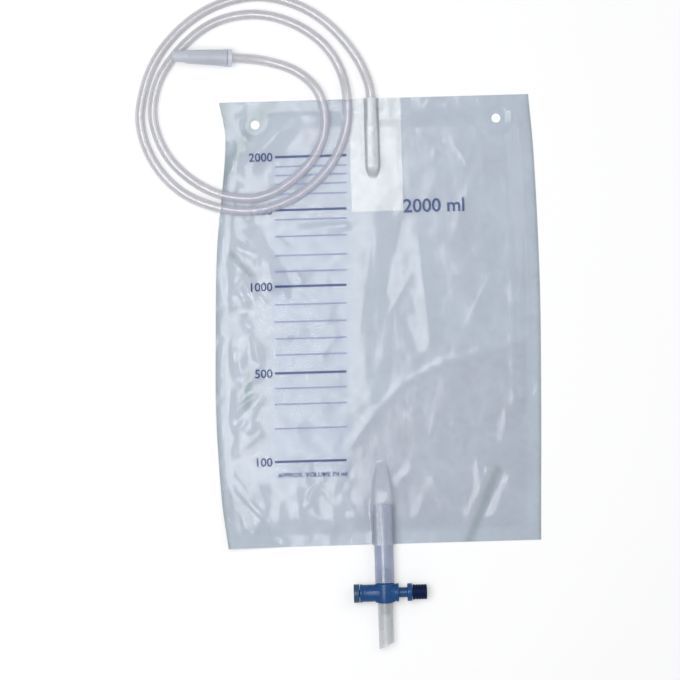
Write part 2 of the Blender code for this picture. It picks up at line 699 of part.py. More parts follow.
def make_tap_body():
    outline = broken_rim(-BARREL_LEFT, BARREL_RIGHT, BARREL_DIAMETER / 2)
    barrel = turned("tap_body", [(-BARREL_LEFT, 0.0)] + outline + [(BARREL_RIGHT, 0.0)], TAP_BLUE)
    upper = OUTLET_RADIUS - OUTLET_WALL - GAP
    lower = SPOUT_TUBE / 2 - SPOUT_WALL - GAP
    high, low = BOSS_HALF + SPIGOT_LENGTH, -BOSS_HALF - SPOUT_SPIGOT_LENGTH
    slope = 2 * SPIGOT_CHAMFER
    outline = [(low, 0.0), (low, lower - SPIGOT_CHAMFER), (low + slope, lower), (-BOSS_HALF, lower)]
    outline += broken_rim(-BOSS_HALF, BOSS_HALF, BOSS_DIAMETER / 2)
    outline += [(BOSS_HALF, upper), (high - slope, upper), (high, upper - SPIGOT_CHAMFER), (high, 0.0)]
    branch = turned("tap_branch", outline, None)
    bore = turned("tap_bore", [(-2 * BARREL_LEFT, 0.0), (-2 * BARREL_LEFT, BARREL_BORE / 2),
                               (2 * BARREL_LEFT, BARREL_BORE / 2), (2 * BARREL_LEFT, 0.0)], None)
    widening = BARREL_BORE / 2 + SPIGOT_WALL
    port = turned("tap_port", [
        (-2 * BARREL_LEFT, 0.0), (-2 * BARREL_LEFT, lower - SPIGOT_WALL), (-widening, lower - SPIGOT_WALL),
        (-widening, PORT / 2), (widening, PORT / 2), (widening, upper - SPIGOT_WALL),
        (2 * BARREL_LEFT, upper - SPIGOT_WALL), (2 * BARREL_LEFT, 0.0)], None, sides=SMALL_ROUND)
    place_on_tap(barrel)
    place_on_tap(bore)
    turn_along_y(branch)
    turn_along_y(port)
    boolean(barrel, branch, "UNION")
    boolean(barrel, bore, "DIFFERENCE")
    boolean(barrel, port, "DIFFERENCE")


def seal_places():
    return (-SEAL_OFFSET, SEAL_OFFSET, SEAL_OFFSET + TRAVEL)


def collar_place():
    """Left face of the spool's collar: it stops on the barrel when the spool is pushed in."""
    return BARREL_RIGHT + TRAVEL + GAP


def land_radius():
    return BARREL_BORE / 2 - LAND_CLEARANCE


def make_spool():
    """The spool that slides in the barrel.

    From left to right: stub, guide land, shaft, two grooved lands with the drain shut
    between them, waist, grooved land, rod, collar and stub.
    """
    land = land_radius()
    groove = BARREL_BORE / 2 - GAP - RING - GAP
    half = RING / 2 + GAP
    near, far, outer = seal_places()
    left = -BARREL_LEFT - GAP
    stub = END_STUB / 2
    collar = collar_place()
    knob = collar + COLLAR_THICKNESS
    end = left - END_FLANGE_THICKNESS + SOCKET_FLOOR + GAP
    guide = -BARREL_LEFT + TRAVEL + SPOOL_GUIDE
    rod_end = knob + KNOB_LENGTH - SOCKET_FLOOR
    outline = [(end, 0.0), (end, stub), (left + GAP, stub), (left + GAP, land), (guide, land),
               (guide + EDGE, SPOOL_SHAFT / 2), (near - half - GROOVE_LAND - EDGE, SPOOL_SHAFT / 2),
               (near - half - GROOVE_LAND, land)]
    outline += [(near - half, land), (near - half, groove), (near + half, groove), (near + half, land)]
    outline += [(far - half, land), (far - half, groove), (far + half, groove), (far + half, land)]
    outline += [(far + half + GROOVE_LAND, land), (far + half + GROOVE_LAND, SPOOL_WAIST / 2),
                (outer - half - GROOVE_LAND, SPOOL_WAIST / 2), (outer - half - GROOVE_LAND, land)]
    outline += [(outer - half, land), (outer - half, groove), (outer + half, groove), (outer + half, land)]
    outline += [(collar, land)] + broken_rim(collar, knob, COLLAR_DIAMETER / 2)
    outline += [(knob, KNOB_STUB / 2), (rod_end, KNOB_STUB / 2), (rod_end, 0.0)]
    place_on_tap(turned("tap_spool", outline, TAP_BLUE, sides=SMALL_ROUND))


def make_seals():
    """Seal rings in the spool's grooves."""
    middle = BARREL_BORE / 2 - GAP - RING / 2
    for number, at in enumerate(seal_places(), start=1):
        angles = [math.tau * i / RING_SIDES for i in range(RING_SIDES)]
        section = [(at + RING / 2 * math.cos(a), middle + RING / 2 * math.sin(a)) for a in angles]
        ring = turned(f"seal_ring_{number}", section, SEAL_RUBBER, closed=True, sides=SMALL_ROUND)
        place_on_tap(ring)


def make_end_flange():
    """Stop disc pressed on the spool's left stub."""
    right = -BARREL_LEFT - GAP
    left = right - END_FLANGE_THICKNESS
    outer, hole = END_FLANGE_DIAMETER / 2, END_STUB / 2 + GAP
    outline = [(left, 0.0)] + broken_rim(left, right, outer)
    outline += [(right, hole), (left + SOCKET_FLOOR, hole), (left + SOCKET_FLOOR, 0.0)]
    place_on_tap(turned("tap_end_flange", outline, TAP_NAVY))


def make_knob():
    """Push knob on the spool's right stub."""
    left = collar_place() + COLLAR_THICKNESS + GAP
    right = left + KNOB_LENGTH
    outer, hole = KNOB_DIAMETER / 2, KNOB_STUB / 2 + GAP
    outline = [(right - SOCKET_FLOOR, 0.0), (right - SOCKET_FLOOR, hole), (left, hole)]
    outline += [(left, outer - EDGE), (left + EDGE, outer), (right - 2 * EDGE, outer)]
    outline += [(right - EDGE / 2, outer - EDGE / 2), (right, outer - 2 * EDGE), (right, 0.0)]
    place_on_tap(turned("tap_knob", outline, TAP_NAVY))


def make_spout():
    start, end = BOSS_HALF + GAP, BOSS_HALF + GAP + SPOUT_LENGTH
    outer, inner = SPOUT_TUBE / 2, SPOUT_TUBE / 2 - SPOUT_WALL
    spout = turned("spout_tube", [(-start, inner), (-start, outer), (-end, outer), (-end, inner)],
                   GREY_TUBE, closed=True)
    for vertex in spout.data.vertices:
        if vertex.co.x < -(start + end) / 2:
            across = 0.5 - vertex.co.y / SPOUT_TUBE
            vertex.co.x += SPOUT_SLANT * across
    turn_along_y(spout)


def main():
    empty_scene()
    make_films()
    make_sleeve()
    make_inlet_tube()
    make_connector()
    make_cap()
    make_outlet_tube()
    make_tap_body()
    make_spool()
    make_seals()
    make_end_flange()
    make_knob()
    make_spout()


main()
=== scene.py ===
"""Visual model of a urine drainage bag, laid out as an add-on and run as a script.

Metres, in the part's own frame: the bag lies flat on the floor with its top edge
towards +Y, and its inlet tube is coiled beside and over it.
"""

import math

import bmesh
import bpy
import numpy as np
from bpy.props import FloatProperty, FloatVectorProperty, IntProperty, PointerProperty
from mathutils import Matrix, Vector, noise
from mathutils.bvhtree import BVHTree


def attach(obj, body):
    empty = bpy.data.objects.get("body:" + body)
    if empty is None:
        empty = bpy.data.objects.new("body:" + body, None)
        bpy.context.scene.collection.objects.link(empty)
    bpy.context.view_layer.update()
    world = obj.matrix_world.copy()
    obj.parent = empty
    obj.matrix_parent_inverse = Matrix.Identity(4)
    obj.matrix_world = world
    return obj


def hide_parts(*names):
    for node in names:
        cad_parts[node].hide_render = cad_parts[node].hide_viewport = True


bl_info = {
    "name": "Drainage Bag",
    "version": (1, 0, 0),
    "blender": (4, 5, 0),
    "location": "View3D > Sidebar > Drainage Bag",
    "description": "Builds the visible pieces of a urine drainage bag round its packed CAD frame",
    "category": "Object",
}

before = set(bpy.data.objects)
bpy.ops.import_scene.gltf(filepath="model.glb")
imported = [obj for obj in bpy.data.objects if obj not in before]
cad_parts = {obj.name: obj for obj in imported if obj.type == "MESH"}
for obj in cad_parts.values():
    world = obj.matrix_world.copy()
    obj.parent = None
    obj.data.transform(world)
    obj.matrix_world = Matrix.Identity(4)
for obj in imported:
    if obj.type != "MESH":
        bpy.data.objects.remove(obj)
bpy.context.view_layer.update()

# Sizes that the part's solids have too, in metres and degrees
GAP = 0.0003
BAG_WIDTH = 0.229
BAG_HEIGHT = 0.312
FILM = 0.0004
WELD_WIDTH = 0.008
SLACK = 0.0017
SLACK_RISE = 0.013
PRESSED = 0.0010
PRESS_WIDTH = 0.0075
LEFT_DRAW = ((0.0, 0.0082), (0.07, 0.0118), (0.14, 0.0108), (0.33, 0.0039), (0.55, 0.0010),
             (0.71, 0.0), (0.89, 0.0023), (1.0, 0.0062))
RIGHT_DRAW = ((0.0, 0.0044), (0.14, 0.0017), (0.42, 0.0), (0.69, 0.0014), (0.91, 0.0034),
              (1.0, 0.0042))
EYELET_BORE = 0.0064
EYELET_PAD = 0.0145
EYELET_DROP = 0.0162
EYELET_LEFT = 0.0815
EYELET_RIGHT = 0.0871
LEAF = 0.00025
SLEEVE_WIDTH = 0.036
SLEEVE_LENGTH = 0.079
SLEEVE_SHIFT = 0.0025
SLEEVE_EASE = 0.0015
SLEEVE_RUN_OUT = 0.005
INLET_TUBE = 0.0068
INLET_REACH = 0.0458
SOCKET_DEPTH = 0.009
SOCKET_WALL = 0.0009
FLANGE_DIAMETER = 0.0126
FLANGE_THICKNESS = 0.003
SEAT_LENGTH = 0.008
NOZZLE_LENGTH = 0.030
NOZZLE_STEPS = 3
NOZZLE_TIP = 0.0050
NOZZLE_BORE = 0.0034
NOZZLE_TAPER = 0.0004
CAP_WALL = 0.0009
CAP_TIP = 0.0076
CAP_RIM = 0.0003
CAP_RIM_WIDTH = 0.0016
CONNECTOR_HEADING = 177.5
CONNECTOR_TILT = 10.0
CONNECTOR_FACE = (-0.0966, 0.0305)
OUTLET_TUBE = 0.0134
OUTLET_WALL = 0.00135
OUTLET_REACH = 0.0282
OUTLET_DROP = 0.0334
BARREL_DIAMETER = 0.0128
BARREL_BORE = 0.0083
BARREL_LEFT = 0.0176
BARREL_MOUTH = 0.0006
BOSS_DIAMETER = 0.0140
BOSS_HALF = 0.0066
SPIGOT_LENGTH = 0.010
SPIGOT_WALL = 0.0016
PORT = 0.0040
TRAVEL = 0.0056
LAND_CLEARANCE = 0.0006
RING = 0.0012
RING_MARGIN = 0.0002
SPOOL_SHAFT = 0.0052
SPOOL_WAIST = 0.0036
SPOOL_GUIDE = 0.0030
GROOVE_LAND = 0.0006
END_FLANGE_DIAMETER = 0.0130
END_FLANGE_THICKNESS = 0.0040
END_STUB = 0.0048
COLLAR_DIAMETER = 0.0124
COLLAR_THICKNESS = 0.0034
KNOB_STUB = 0.0056
KNOB_DIAMETER = 0.0106
KNOB_LENGTH = 0.0100
SOCKET_FLOOR = 0.0008
EDGE = 0.0005
SPOUT_TUBE = 0.0104
SPOUT_WALL = 0.0011
SPOUT_LENGTH = 0.0323
SPOUT_SLANT = 0.0046

TOP = (BAG_HEIGHT + OUTLET_DROP + BOSS_HALF + GAP + SPOUT_LENGTH) / 2
BOTTOM = TOP - BAG_HEIGHT
MIDDLE = (TOP + BOTTOM) / 2
TAP_Y = BOTTOM - OUTLET_DROP
WELD_LEVEL = FILM + GAP
FRONT_LEAF_LEVEL = WELD_LEVEL + LEAF + GAP
SLEEVE_RISE = 2 * (LEAF + GAP)
INLET_RADIUS = INLET_TUBE / 2
INLET_Z = FRONT_LEAF_LEVEL + INLET_RADIUS
OUTLET_RADIUS = OUTLET_TUBE / 2
OUTLET_Z = WELD_LEVEL + OUTLET_RADIUS
EYELETS = ((-EYELET_LEFT, TOP - EYELET_DROP), (EYELET_RIGHT, TOP - EYELET_DROP))
SEALS = [PORT / 2 + RING_MARGIN + RING / 2 + shift for shift in (0.0, TRAVEL)]
SEALS.insert(0, -SEALS[0])
BARREL_RIGHT = SEALS[2] + RING / 2 + BARREL_MOUTH
COLLAR_X = BARREL_RIGHT + TRAVEL + GAP
FLOOR_Z = INLET_RADIUS + 0.0001
ON_BAG_Z = WELD_LEVEL + FILM + PRESSED + 2 * GAP + INLET_RADIUS
OVER_EDGE_Z = WELD_LEVEL + FILM + SLEEVE_RISE + GAP + INLET_RADIUS

# The films' own shape, softer than the solids': half-widths of the rise over the tubes, how
# level it is across, and how far from the loops the film is free of their weight
SLEEVE_TENT = 0.0052
OUTLET_TENT = 0.0082
CROWN = 0.05
PRESS_REACH = 0.024
PRESSED_SHARE = 0.55
# Past a tube's inner end: length of the run-down, its narrowing, the powers of its curve
INLET_END = (0.009, 1.0, 3, 1.5)
OUTLET_END = (0.031, 1.2, 2.5, 1.3)
OUTLET_LEAN = 0.06            # the rise past the outlet tube is higher on its right
LEAN_START = 0.15
SEAM_EASE = 0.003             # width over which the fused films part
SEAM_CLEAR = 0.004
FUSED_GAP = 0.00003
COLUMN_STEP = 0.0011          # columns of the films' mesh about the middle line
NEAR_COLUMNS = 21
SIDE_COLUMNS = (0.6, 0.68, 0.75, 0.81, 0.86, 0.9, 0.94, 0.97, 0.99, 1.0)
WELDED_FOLD = 0.35            # share of a fold's height that is left in the weld
FOLD_EASE = 0.005
EDGE_CURL = 0.0005            # rise of the left edge, its width, and where it starts
EDGE_CURL_WIDTH = 0.0045
EDGE_CURL_DROP = 0.020
# Unevenness: height, size of its grains, and seed
SLACK_WAVE = (0.00018, 0.012, 3.7)
WELD_RIPPLES = ((0.00010, 0.005, 9.1), (0.00024, 0.011, 4.4))
LEAF_WAVE = (0.00012, 0.008, 5.3)

TENTHS = 10000                # the tables below are in tenths of a millimetre

# Inlet tube's route: a height, and points x, y from the middle of the top edge
LEGS = (
    (INLET_Z, (0, 0), (-7, 70)),
    (FLOOR_Z, (-49, 203), (-170, 401), (-407, 618), (-768, 733), (-1075, 672), (-1398, 439),
     (-1512, 278), (-1585, 90), (-1616, -104), (-1538, -388), (-1350, -612)),
    (OVER_EDGE_Z, (-1125, -724)),
    (ON_BAG_Z, (-805, -760), (-510, -655), (-294, -459), (-180, -215), (-168, 20)),
    (FLOOR_Z, (-203, 190), (-289, 348), (-515, 530), (-800, 608), (-1074, 560), (-1330, 372),
     (-1487, 136), (-1526, -71), (-1440, -350), (-1275, -530)),
    (OVER_EDGE_Z, (-1063, -646)),
    (ON_BAG_Z, (-798, -671), (-532, -532), (-371, -340), (-324, -111)),
    (OVER_EDGE_Z, (-371, 57)),
    (FLOOR_Z, (-490, 185), (-690, 270)),
)
ROUTE = [(0.0, -INLET_REACH, INLET_Z)]
ROUTE += [(x / TENTHS, y / TENTHS, z) for z, *points in LEGS for x, y in points]
ROUTE_STATIONS = 8            # rings of the tube from each route point to the next
TUBE_SIDES = 28
PORT_SIDES = 48               # facets of the tap's port and of its seals

# Folds of the front film: start x, y and end x, y from the middle of the top edge,
# half-width, height (a valley is negative)
FOLDS = np.array((
    (-1, -829, -88, -1408, 100, 8), (-102, -1408, -93, -2073, 85, 6),
    (59, -1658, -38, -2110, 50, 3), (302, -999, 366, -1701, 40, 6),
    (440, -1073, 483, -1775, 60, -1), (194, -870, 68, -1343, 50, -5),
    (202, -1571, 267, -1741, 45, -4), (1012, -915, 971, -2104, 55, 4),
    (971, -2104, 857, -2416, 45, 3), (1100, -744, 1060, -2983, 25, -3),
    (828, -2681, 634, -3080, 40, -8), (753, -2623, 551, -3072, 40, 5),
    (-1075, -2836, -921, -3070, 80, -7), (-1060, -2654, -845, -2892, 25, 9),
    (-845, -2892, -683, -3080, 25, 8), (-602, -2724, -564, -3080, 35, 6),
    (-328, -2711, -374, -3070, 35, 6), (-449, -2784, -472, -3070, 30, -4),
    (-225, -2770, -219, -3050, 40, -4), (-940, -40, -1040, -435, 80, 20),
    (-734, -40, -918, -334, 75, -6), (-918, -334, -1020, -610, 60, -12),
    (-540, -40, -850, -420, 80, 10), (-444, -172, -589, -343, 60, -9),
    (-1022, -772, -714, -1278, 70, 20), (-900, -780, -620, -1180, 50, -8),
    (-890, -1560, -897, -1805, 40, -5), (-903, -2001, -920, -2099, 40, -4),
    (-981, -332, -778, -583, 60, 12), (-1040, -1169, -1060, -2428, 22, -6),
    (342, -110, 1042, -130, 100, -3), (128, -2675, 200, -2607, 30, 7),
    (232, -2958, 292, -2820, 40, 4), (-521, -905, -206, -887, 30, 6),
    (-542, -1605, -647, -1637, 40, 4), (-210, -2423, -50, -2213, 30, 5),
    (-50, -2213, 150, -2008, 30, 4), (150, -2008, 440, -1863, 30, 3),
    (440, -1863, 920, -1733, 30, 3),
)) / TENTHS

# Painted shade along fold valleys, where the films are drawn darker: start x, y, end x, y,
# half-width
VALLEY_SHADES = np.array((
    (-706, -18, -829, -161, 60), (-829, -161, -924, -299, 45), (-924, -299, -998, -423, 36),
    (-998, -423, -1044, -554, 32), (-1022, 0, -1032, -163, 34), (-1016, -1052, -880, -1210, 22),
    (-915, -1920, -925, -2130, 34), (809, -2625, 591, -3130, 30),
)) / TENTHS

# Upper edge of the part low on the bag where the films touch: x, y
CONTACT = np.array(((-210, -2423), (-50, -2213), (150, -2008), (440, -1863), (920, -1733),
                    (1145, -1690))) / TENTHS
CONTACT_LEFT = -0.024

# Lower left corner, curled up past a straight line: a point on it, the way to the corner,
# the rise for each metre past it, and the length over which the rise begins
CURL_FOOT = (-0.1060, -0.2640)
CURL_TURN = (-0.749, -0.663)
CURL_SLOPE = 0.17
CURL_EASE = 0.005

# Small creases: centre x, y from the middle of the top edge, half-spans of the patch,
# longest, widest, highest, then number, usual direction in degrees from +X and its spread
CREASE_PATCHES = (
    (-780, -350, 340, 320, 360, 40, 8, 34, 55, 25),
    (-980, -1500, 140, 900, 280, 42, 16, 64, 85, 50),
    (-800, -1000, 220, 340, 340, 38, 11, 26, 120, 35),
    (-450, -1600, 300, 800, 260, 40, 3, 16, 95, 70),
    (-650, -2820, 450, 240, 260, 36, 11, 34, 100, 50), (0, -1400, 200, 600, 500, 50, 4, 10, 78, 25),
    (550, -1000, 450, 700, 450, 55, 2, 8, 95, 35), (600, -2500, 450, 500, 300, 45, 3, 12, 120, 60),
    (1050, -1600, 60, 1200, 220, 32, 6, 26, 88, 30), (600, -350, 400, 150, 260, 45, 2, 5, 85, 40),
)
CREASE_SEED = 11
CREASE_LEAST = 0.35           # shortest and lowest, as a share of the most
RIDGE_SHARE = 0.7             # the others are valleys, and shallower
VALLEY = -0.6
CREST_FALL = 1.7
CREST_ROUND = 0.06
CREST_TOP = 0.245

# Printed scale: heights on the bag of its marks, from 100 up by hundreds
MARK_HEIGHTS = (-600, -368, -198, -87, 19, 147, 259, 378, 498, 625, 730, 841,
                975, 1092, 1159, 1270, 1340, 1402, 1463, 1531)
MARKS = [(100 * i, height / TENTHS) for i, height in enumerate(MARK_HEIGHTS, start=1)]
NAMED_MARKS = (100, 500, 1000, 1500, 2000)
MARK_MIDDLE = -0.0465         # x of the marks' middle, halfway up the bag
MARK_LEAN = 0.0288            # how far the printed column leans, per metre of height
MARK_LENGTH = 0.0500
NUMERAL_GAP = 0.0018
CAPITAL = 0.69                # height of a capital, as a share of the lettering's size
BOLDNESS = 0.02
LETTER_STEP = 0.0012          # longest edge in a letter, so that it drapes
RAY_FROM = 0.05
INK_LIFT = 0.00003


# Tones of the films: where they touch and under the scale; and painted shade along fold valleys and
# at the side edges (the rim)
FILM_TONES_AND_SHADES = (("contact", (0.955, 0.935, 0.945)), ("tint", (0.95, 0.965, 1.0)),
              ("valley_shade", (0.74, 0.80, 0.77)), ("rim", (0.76, 0.79, 0.76)))
BEAD_FALL = 1400.0            # for each metre off the weld's inner edge, which stands up a little


def size_property(name, description, default, **limits):
    return FloatProperty(name=name, description=description, default=default,
                         unit="LENGTH", **limits)


def colour_property(name, description, default):
    return FloatVectorProperty(name=name, description=description, default=default,
                               subtype="COLOR", size=3, min=0.0, max=1.0)


class DrainageBagSizes(bpy.types.PropertyGroup):
    """Sizes that a user of the model may want to change."""

    film_step: size_property("Film grid", "Spacing of the films' mesh", 0.00135, min=0.001)
    film: size_property("Film", "Thickness of the front film as shown", 0.0003, min=0.0001)
    tube_wall: size_property("Inlet tube wall", "Wall of the clear inlet tube", 0.0010,
                             min=0.0004, max=0.002)
    sides: IntProperty(name="Sides", description="Facets round a turned or moulded piece",
                       default=72, min=24, max=144)
    major_mark: size_property("Major mark", "Thickness of a numbered line of the scale", 0.0016)
    minor_mark: size_property("Minor mark", "Thickness of a line without a number", 0.0010)
    numeral: size_property("Numeral", "Height of the scale's numerals", 0.0058)
    ink: size_property("Ink", "Thickness of the print on the film", 0.00006)


class DrainageBagColours(bpy.types.PropertyGroup):
    """Colours, linear, that a user of the model may want to change."""

    clear_film: colour_property("Clear film", "Milkiness of the front film", (0.59, 0.65, 0.73))
    white_film: colour_property("White film", "Back film", (0.463, 0.52, 0.595))
    sleeve_film: colour_property("Sleeve film", "Non-return sleeve", (0.93, 1.0, 1.0))
    clear_tube: colour_property("Clear tube", "Inlet tube", (0.53, 0.53, 0.58))
    # painted light: the inlet tube's paler colour where it lies on the bag
    tube_on_bag: colour_property("Tube on the bag", "Inlet tube over the films", (0.78, 0.78, 0.90))
    milky: colour_property("Milky plastic", "Connector and cap", (0.55, 0.58, 0.65))
    bluish_tube: colour_property("Bluish tube", "Outlet tube", (0.35, 0.41, 0.57))
    tap_blue: colour_property("Tap blue", "Tap housing and its spool", (0.002, 0.055, 0.185))
    tap_navy: colour_property("Tap navy", "Push knob", (0.0005, 0.007, 0.042))
    tap_disc: colour_property("Tap disc", "Stop disc", (0.006, 0.050, 0.120))
    rubber: colour_property("Rubber", "Seal rings", (0.02, 0.02, 0.022))
    spout: colour_property("Spout", "Spout tube", (0.59, 0.615, 0.64))
    ink: colour_property("Ink", "Numbered marks and lettering", (0.026, 0.053, 0.171))
    pale_ink: colour_property("Pale ink", "Marks without a number", (0.21, 0.25, 0.41))
    floor: colour_property("Floor", "Plain floor", (0.96, 0.96, 0.965))


def sizes():
    return bpy.context.scene.drainage_bag_sizes


def colours():
    return bpy.context.scene.drainage_bag_colours


# Shapes of the films: the solids' own plan, with a softer rise

def smooth_step(t):
    t = np.clip(t, 0.0, 1.0)
    return t * t * (3 - 2 * t)


def smooth_value(knots, values, at, evened=0):
    """Read a smooth curve through rows of values at rising knots.

    In the first columns, as many as evened, the slopes allow for uneven knots.
    """
    last = len(knots) - 1
    low = np.maximum(np.arange(last + 1) - 1, 0)
    high = np.minimum(np.arange(last + 1) + 1, last)
    slopes = (values[high] - values[low]) / (knots[high] - knots[low])[:, None]
    span = np.diff(knots)[:, None]
    rate = np.diff(values, axis=0) / span
    even = (span[1:] * rate[:-1] + span[:-1] * rate[1:]) / (span[1:] + span[:-1])
    slopes[1:-1, :evened] = even[:, :evened]
    i = np.clip(np.searchsorted(knots, at, side="left") - 1, 0, last - 1)
    span = knots[i + 1] - knots[i]
    t = ((at - knots[i]) / span)[..., None]
    span = span[..., None]
    return (values[i] * (1 + 2 * t) * (1 - t) ** 2 + slopes[i] * (span * t * (1 - t) ** 2)
            + values[i + 1] * t * t * (3 - 2 * t) - slopes[i + 1] * (span * t * t * (1 - t)))


def edge_draw(draw, y):
    """How far a side edge is pulled in. A draw is rows of share of the height, pull-in."""
    knots, values = np.array(draw).T
    share = np.clip((TOP - y) / BAG_HEIGHT, 0.0, 1.0)
    return smooth_value(knots, values[:, None], share)[..., 0]


def left_edge(y):
    return -BAG_WIDTH / 2 + edge_draw(LEFT_DRAW, y)


def right_edge(y):
    return BAG_WIDTH / 2 - edge_draw(RIGHT_DRAW, y)


def from_side(x, y):
    return np.minimum(x - left_edge(y), right_edge(y) - x)


def from_weld(x, y):
    """Distance inside the inner edge of the welded border."""
    return np.minimum(from_side(x, y), np.minimum(TOP - y, y - BOTTOM)) - WELD_WIDTH


def from_pads(x, y):
    """Distance outside the nearer eyelet's welded pad."""
    return np.minimum(*(np.hypot(x - ex, y - ey) for ex, ey in EYELETS)) - EYELET_PAD / 2


def to_segment(x, y, x0, y0, x1, y1):
    """Distance from points to a straight stretch, and how far along it they lie."""
    dx, dy = x1 - x0, y1 - y0
    t = np.clip(((x - x0) * dx + (y - y0) * dy) / (dx * dx + dy * dy), 0.0, 1.0)
    return np.hypot(x - x0 - t * dx, y - y0 - t * dy), t


def tent(x, half_width):
    """Share of a film's rise over a tube, x from the tube's axis."""
    share = np.clip(np.abs(x) / half_width, 0.0, 1.0)
    return (0.5 + 0.5 * np.cos(np.pi * share)) ** 0.8


def flat_top(x, half_width):
    """The same where the film lies nearly level over the tube and has steep sides."""
    return (1 - np.clip(np.abs(x) / half_width, 0.0, 1.0) ** 8) ** 0.7


def seam_share(from_edge):
    return 1 - smooth_step((from_edge - WELD_WIDTH) / (2 * WELD_WIDTH))


def wing(x, reach, half_width):
    return reach * tent(np.maximum(np.abs(x) - reach, 0.0), half_width - reach)


def over_tube(x, from_edge, tube_radius, half_width):
    """Rise of the front layers over a tube: closer round it in the weld than inside."""
    reach = tube_radius + GAP
    seam = wing(x, reach, half_width) + reach * flat_top(x, reach + GAP)
    inside = np.maximum(2 * reach * flat_top(x, half_width), seam)
    crown = 1 - CROWN * np.minimum(np.abs(x) / half_width, 1.0) ** 2
    return (inside + (seam - inside) * seam_share(from_edge)) * crown


def under_tube(x, from_edge, tube_radius, half_width):
    """Rise of the back layers up round a tube where it crosses the weld."""
    reach = tube_radius + GAP
    arc = np.sqrt(np.maximum(reach * reach - x * x, 0.0))
    return (wing(x, reach, half_width) - arc) * seam_share(from_edge)


def tube_lift(x, from_edge, reach, tube_radius, half_width, end):
    """Rise over a tube and its run-down past the inner end, and how far along that is."""
    length, narrowing, power, outer_power = end
    past = np.clip((from_edge - reach - 2 * GAP) / length, 0.0, 1.0)
    rise = over_tube(x * (1 + narrowing * past ** 2), from_edge, tube_radius, half_width)
    return rise * (1 - past ** power) ** outer_power, past


def outlet_lift(x, y):
    rise, past = tube_lift(x, y - BOTTOM, OUTLET_REACH, OUTLET_RADIUS, OUTLET_TENT, OUTLET_END)
    return rise * (1 + OUTLET_LEAN * np.minimum(past / LEAN_START, 1.0) * x / OUTLET_TENT)


def inlet_lift(x, y):
    return tube_lift(x, TOP - y, INLET_REACH, INLET_RADIUS, SLEEVE_TENT, INLET_END)[0]


def back_lift(x, y):
    """Rise of the back film and the back leaf off the floor."""
    upper = under_tube(x, TOP - y, INLET_RADIUS, SLEEVE_TENT)
    lower = under_tube(x, y - BOTTOM, OUTLET_RADIUS, OUTLET_TENT)
    return np.where(y > MIDDLE, upper, lower)


def curl(x, y):
    """Rise of both films where the left edge and the lower left corner curl up."""
    edge = EDGE_CURL * smooth_step(1 - (x - left_edge(y)) / EDGE_CURL_WIDTH)
    edge = edge * smooth_step((TOP - EDGE_CURL_DROP - y) / EDGE_CURL_DROP)
    past = CURL_TURN[0] * (x - CURL_FOOT[0]) + CURL_TURN[1] * (y - TOP - CURL_FOOT[1])
    past = np.maximum(past, 0.0)
    return edge + CURL_SLOPE * past * past / (past + CURL_EASE)


def sleeve_lift(x, y):
    """Room for the two leaves under the front film."""
    side = (np.abs(x - SLEEVE_SHIFT) - SLEEVE_WIDTH / 2 - SLEEVE_EASE) / SLEEVE_RUN_OUT
    foot = (TOP - SLEEVE_LENGTH - GAP - y) / SLEEVE_RUN_OUT
    return SLEEVE_RISE * (1 - smooth_step(side)) * (1 - smooth_step(foot))


def fold_height(x, y):
    height = np.zeros_like(x)
    for *ends, width, rise in FOLDS:
        height += rise * np.exp(-(to_segment(x, y - TOP, *ends)[0] / width) ** 2)
    return height


def crease_height(x, y):
    """Small straight creases with a sharp crest, scattered in patches."""
    height = np.zeros_like(x)
    draw = np.random.default_rng(CREASE_SEED)
    for *lengths, count, heading, spread in CREASE_PATCHES:
        cx, cy, sx, sy, longest, widest, highest = (length / TENTHS for length in lengths)
        for _ in range(count):
            middle_x = cx + sx * draw.uniform(-1, 1)
            middle_y = TOP + cy + sy * draw.uniform(-1, 1)
            turn = math.radians(heading + spread * draw.uniform(-1, 1))
            half = 0.5 * longest * draw.uniform(CREASE_LEAST, 1.0)
            width = widest * draw.uniform(0.5, 1.0)
            rise = highest * draw.uniform(CREASE_LEAST, 1.0)
            rise *= 1 if draw.random() < RIDGE_SHARE else VALLEY
            along_x, along_y = half * math.cos(turn), half * math.sin(turn)
            away, t = to_segment(x, y, middle_x - along_x, middle_y - along_y,
                                 middle_x + along_x, middle_y + along_y)
            taper = np.sqrt(np.clip(4 * t * (1 - t), 0.0, 1.0))
            slope = np.sqrt((away / width) ** 2 + CREST_ROUND) - CREST_TOP
            height += rise * taper * np.exp(-CREST_FALL * slope)
    return height


def noise_field(x, y, height, size, seed):
    """Smooth noise of a height, with grains of a size."""
    flat = [noise.noise((a / size, b / size, seed)) for a, b in zip(x.ravel(), y.ravel())]
    return height * np.array(flat).reshape(x.shape)


def loop_distance(x, y):
    """Distance in plan to the part of the inlet tube that lies on the bag."""
    return np.min([to_segment(x, y - TOP, *a[:2], *b[:2])[0]
                   for a, b in zip(ROUTE[3:], ROUTE[4:])], axis=0)


def closed_seam(x, y):
    """1 where the two films are fused, 0 inside the bag and close to a tube."""
    fused = 1 - smooth_step(np.minimum(from_weld(x, y), from_pads(x, y)) / SEAM_EASE)
    top_tube = np.abs(x - SLEEVE_SHIFT) - SLEEVE_WIDTH / 2 - SEAM_CLEAR / 2
    low_tube = np.abs(x) - OUTLET_TENT
    return fused * smooth_step(np.where(y > MIDDLE, top_tube, low_tube) / SEAM_CLEAR)


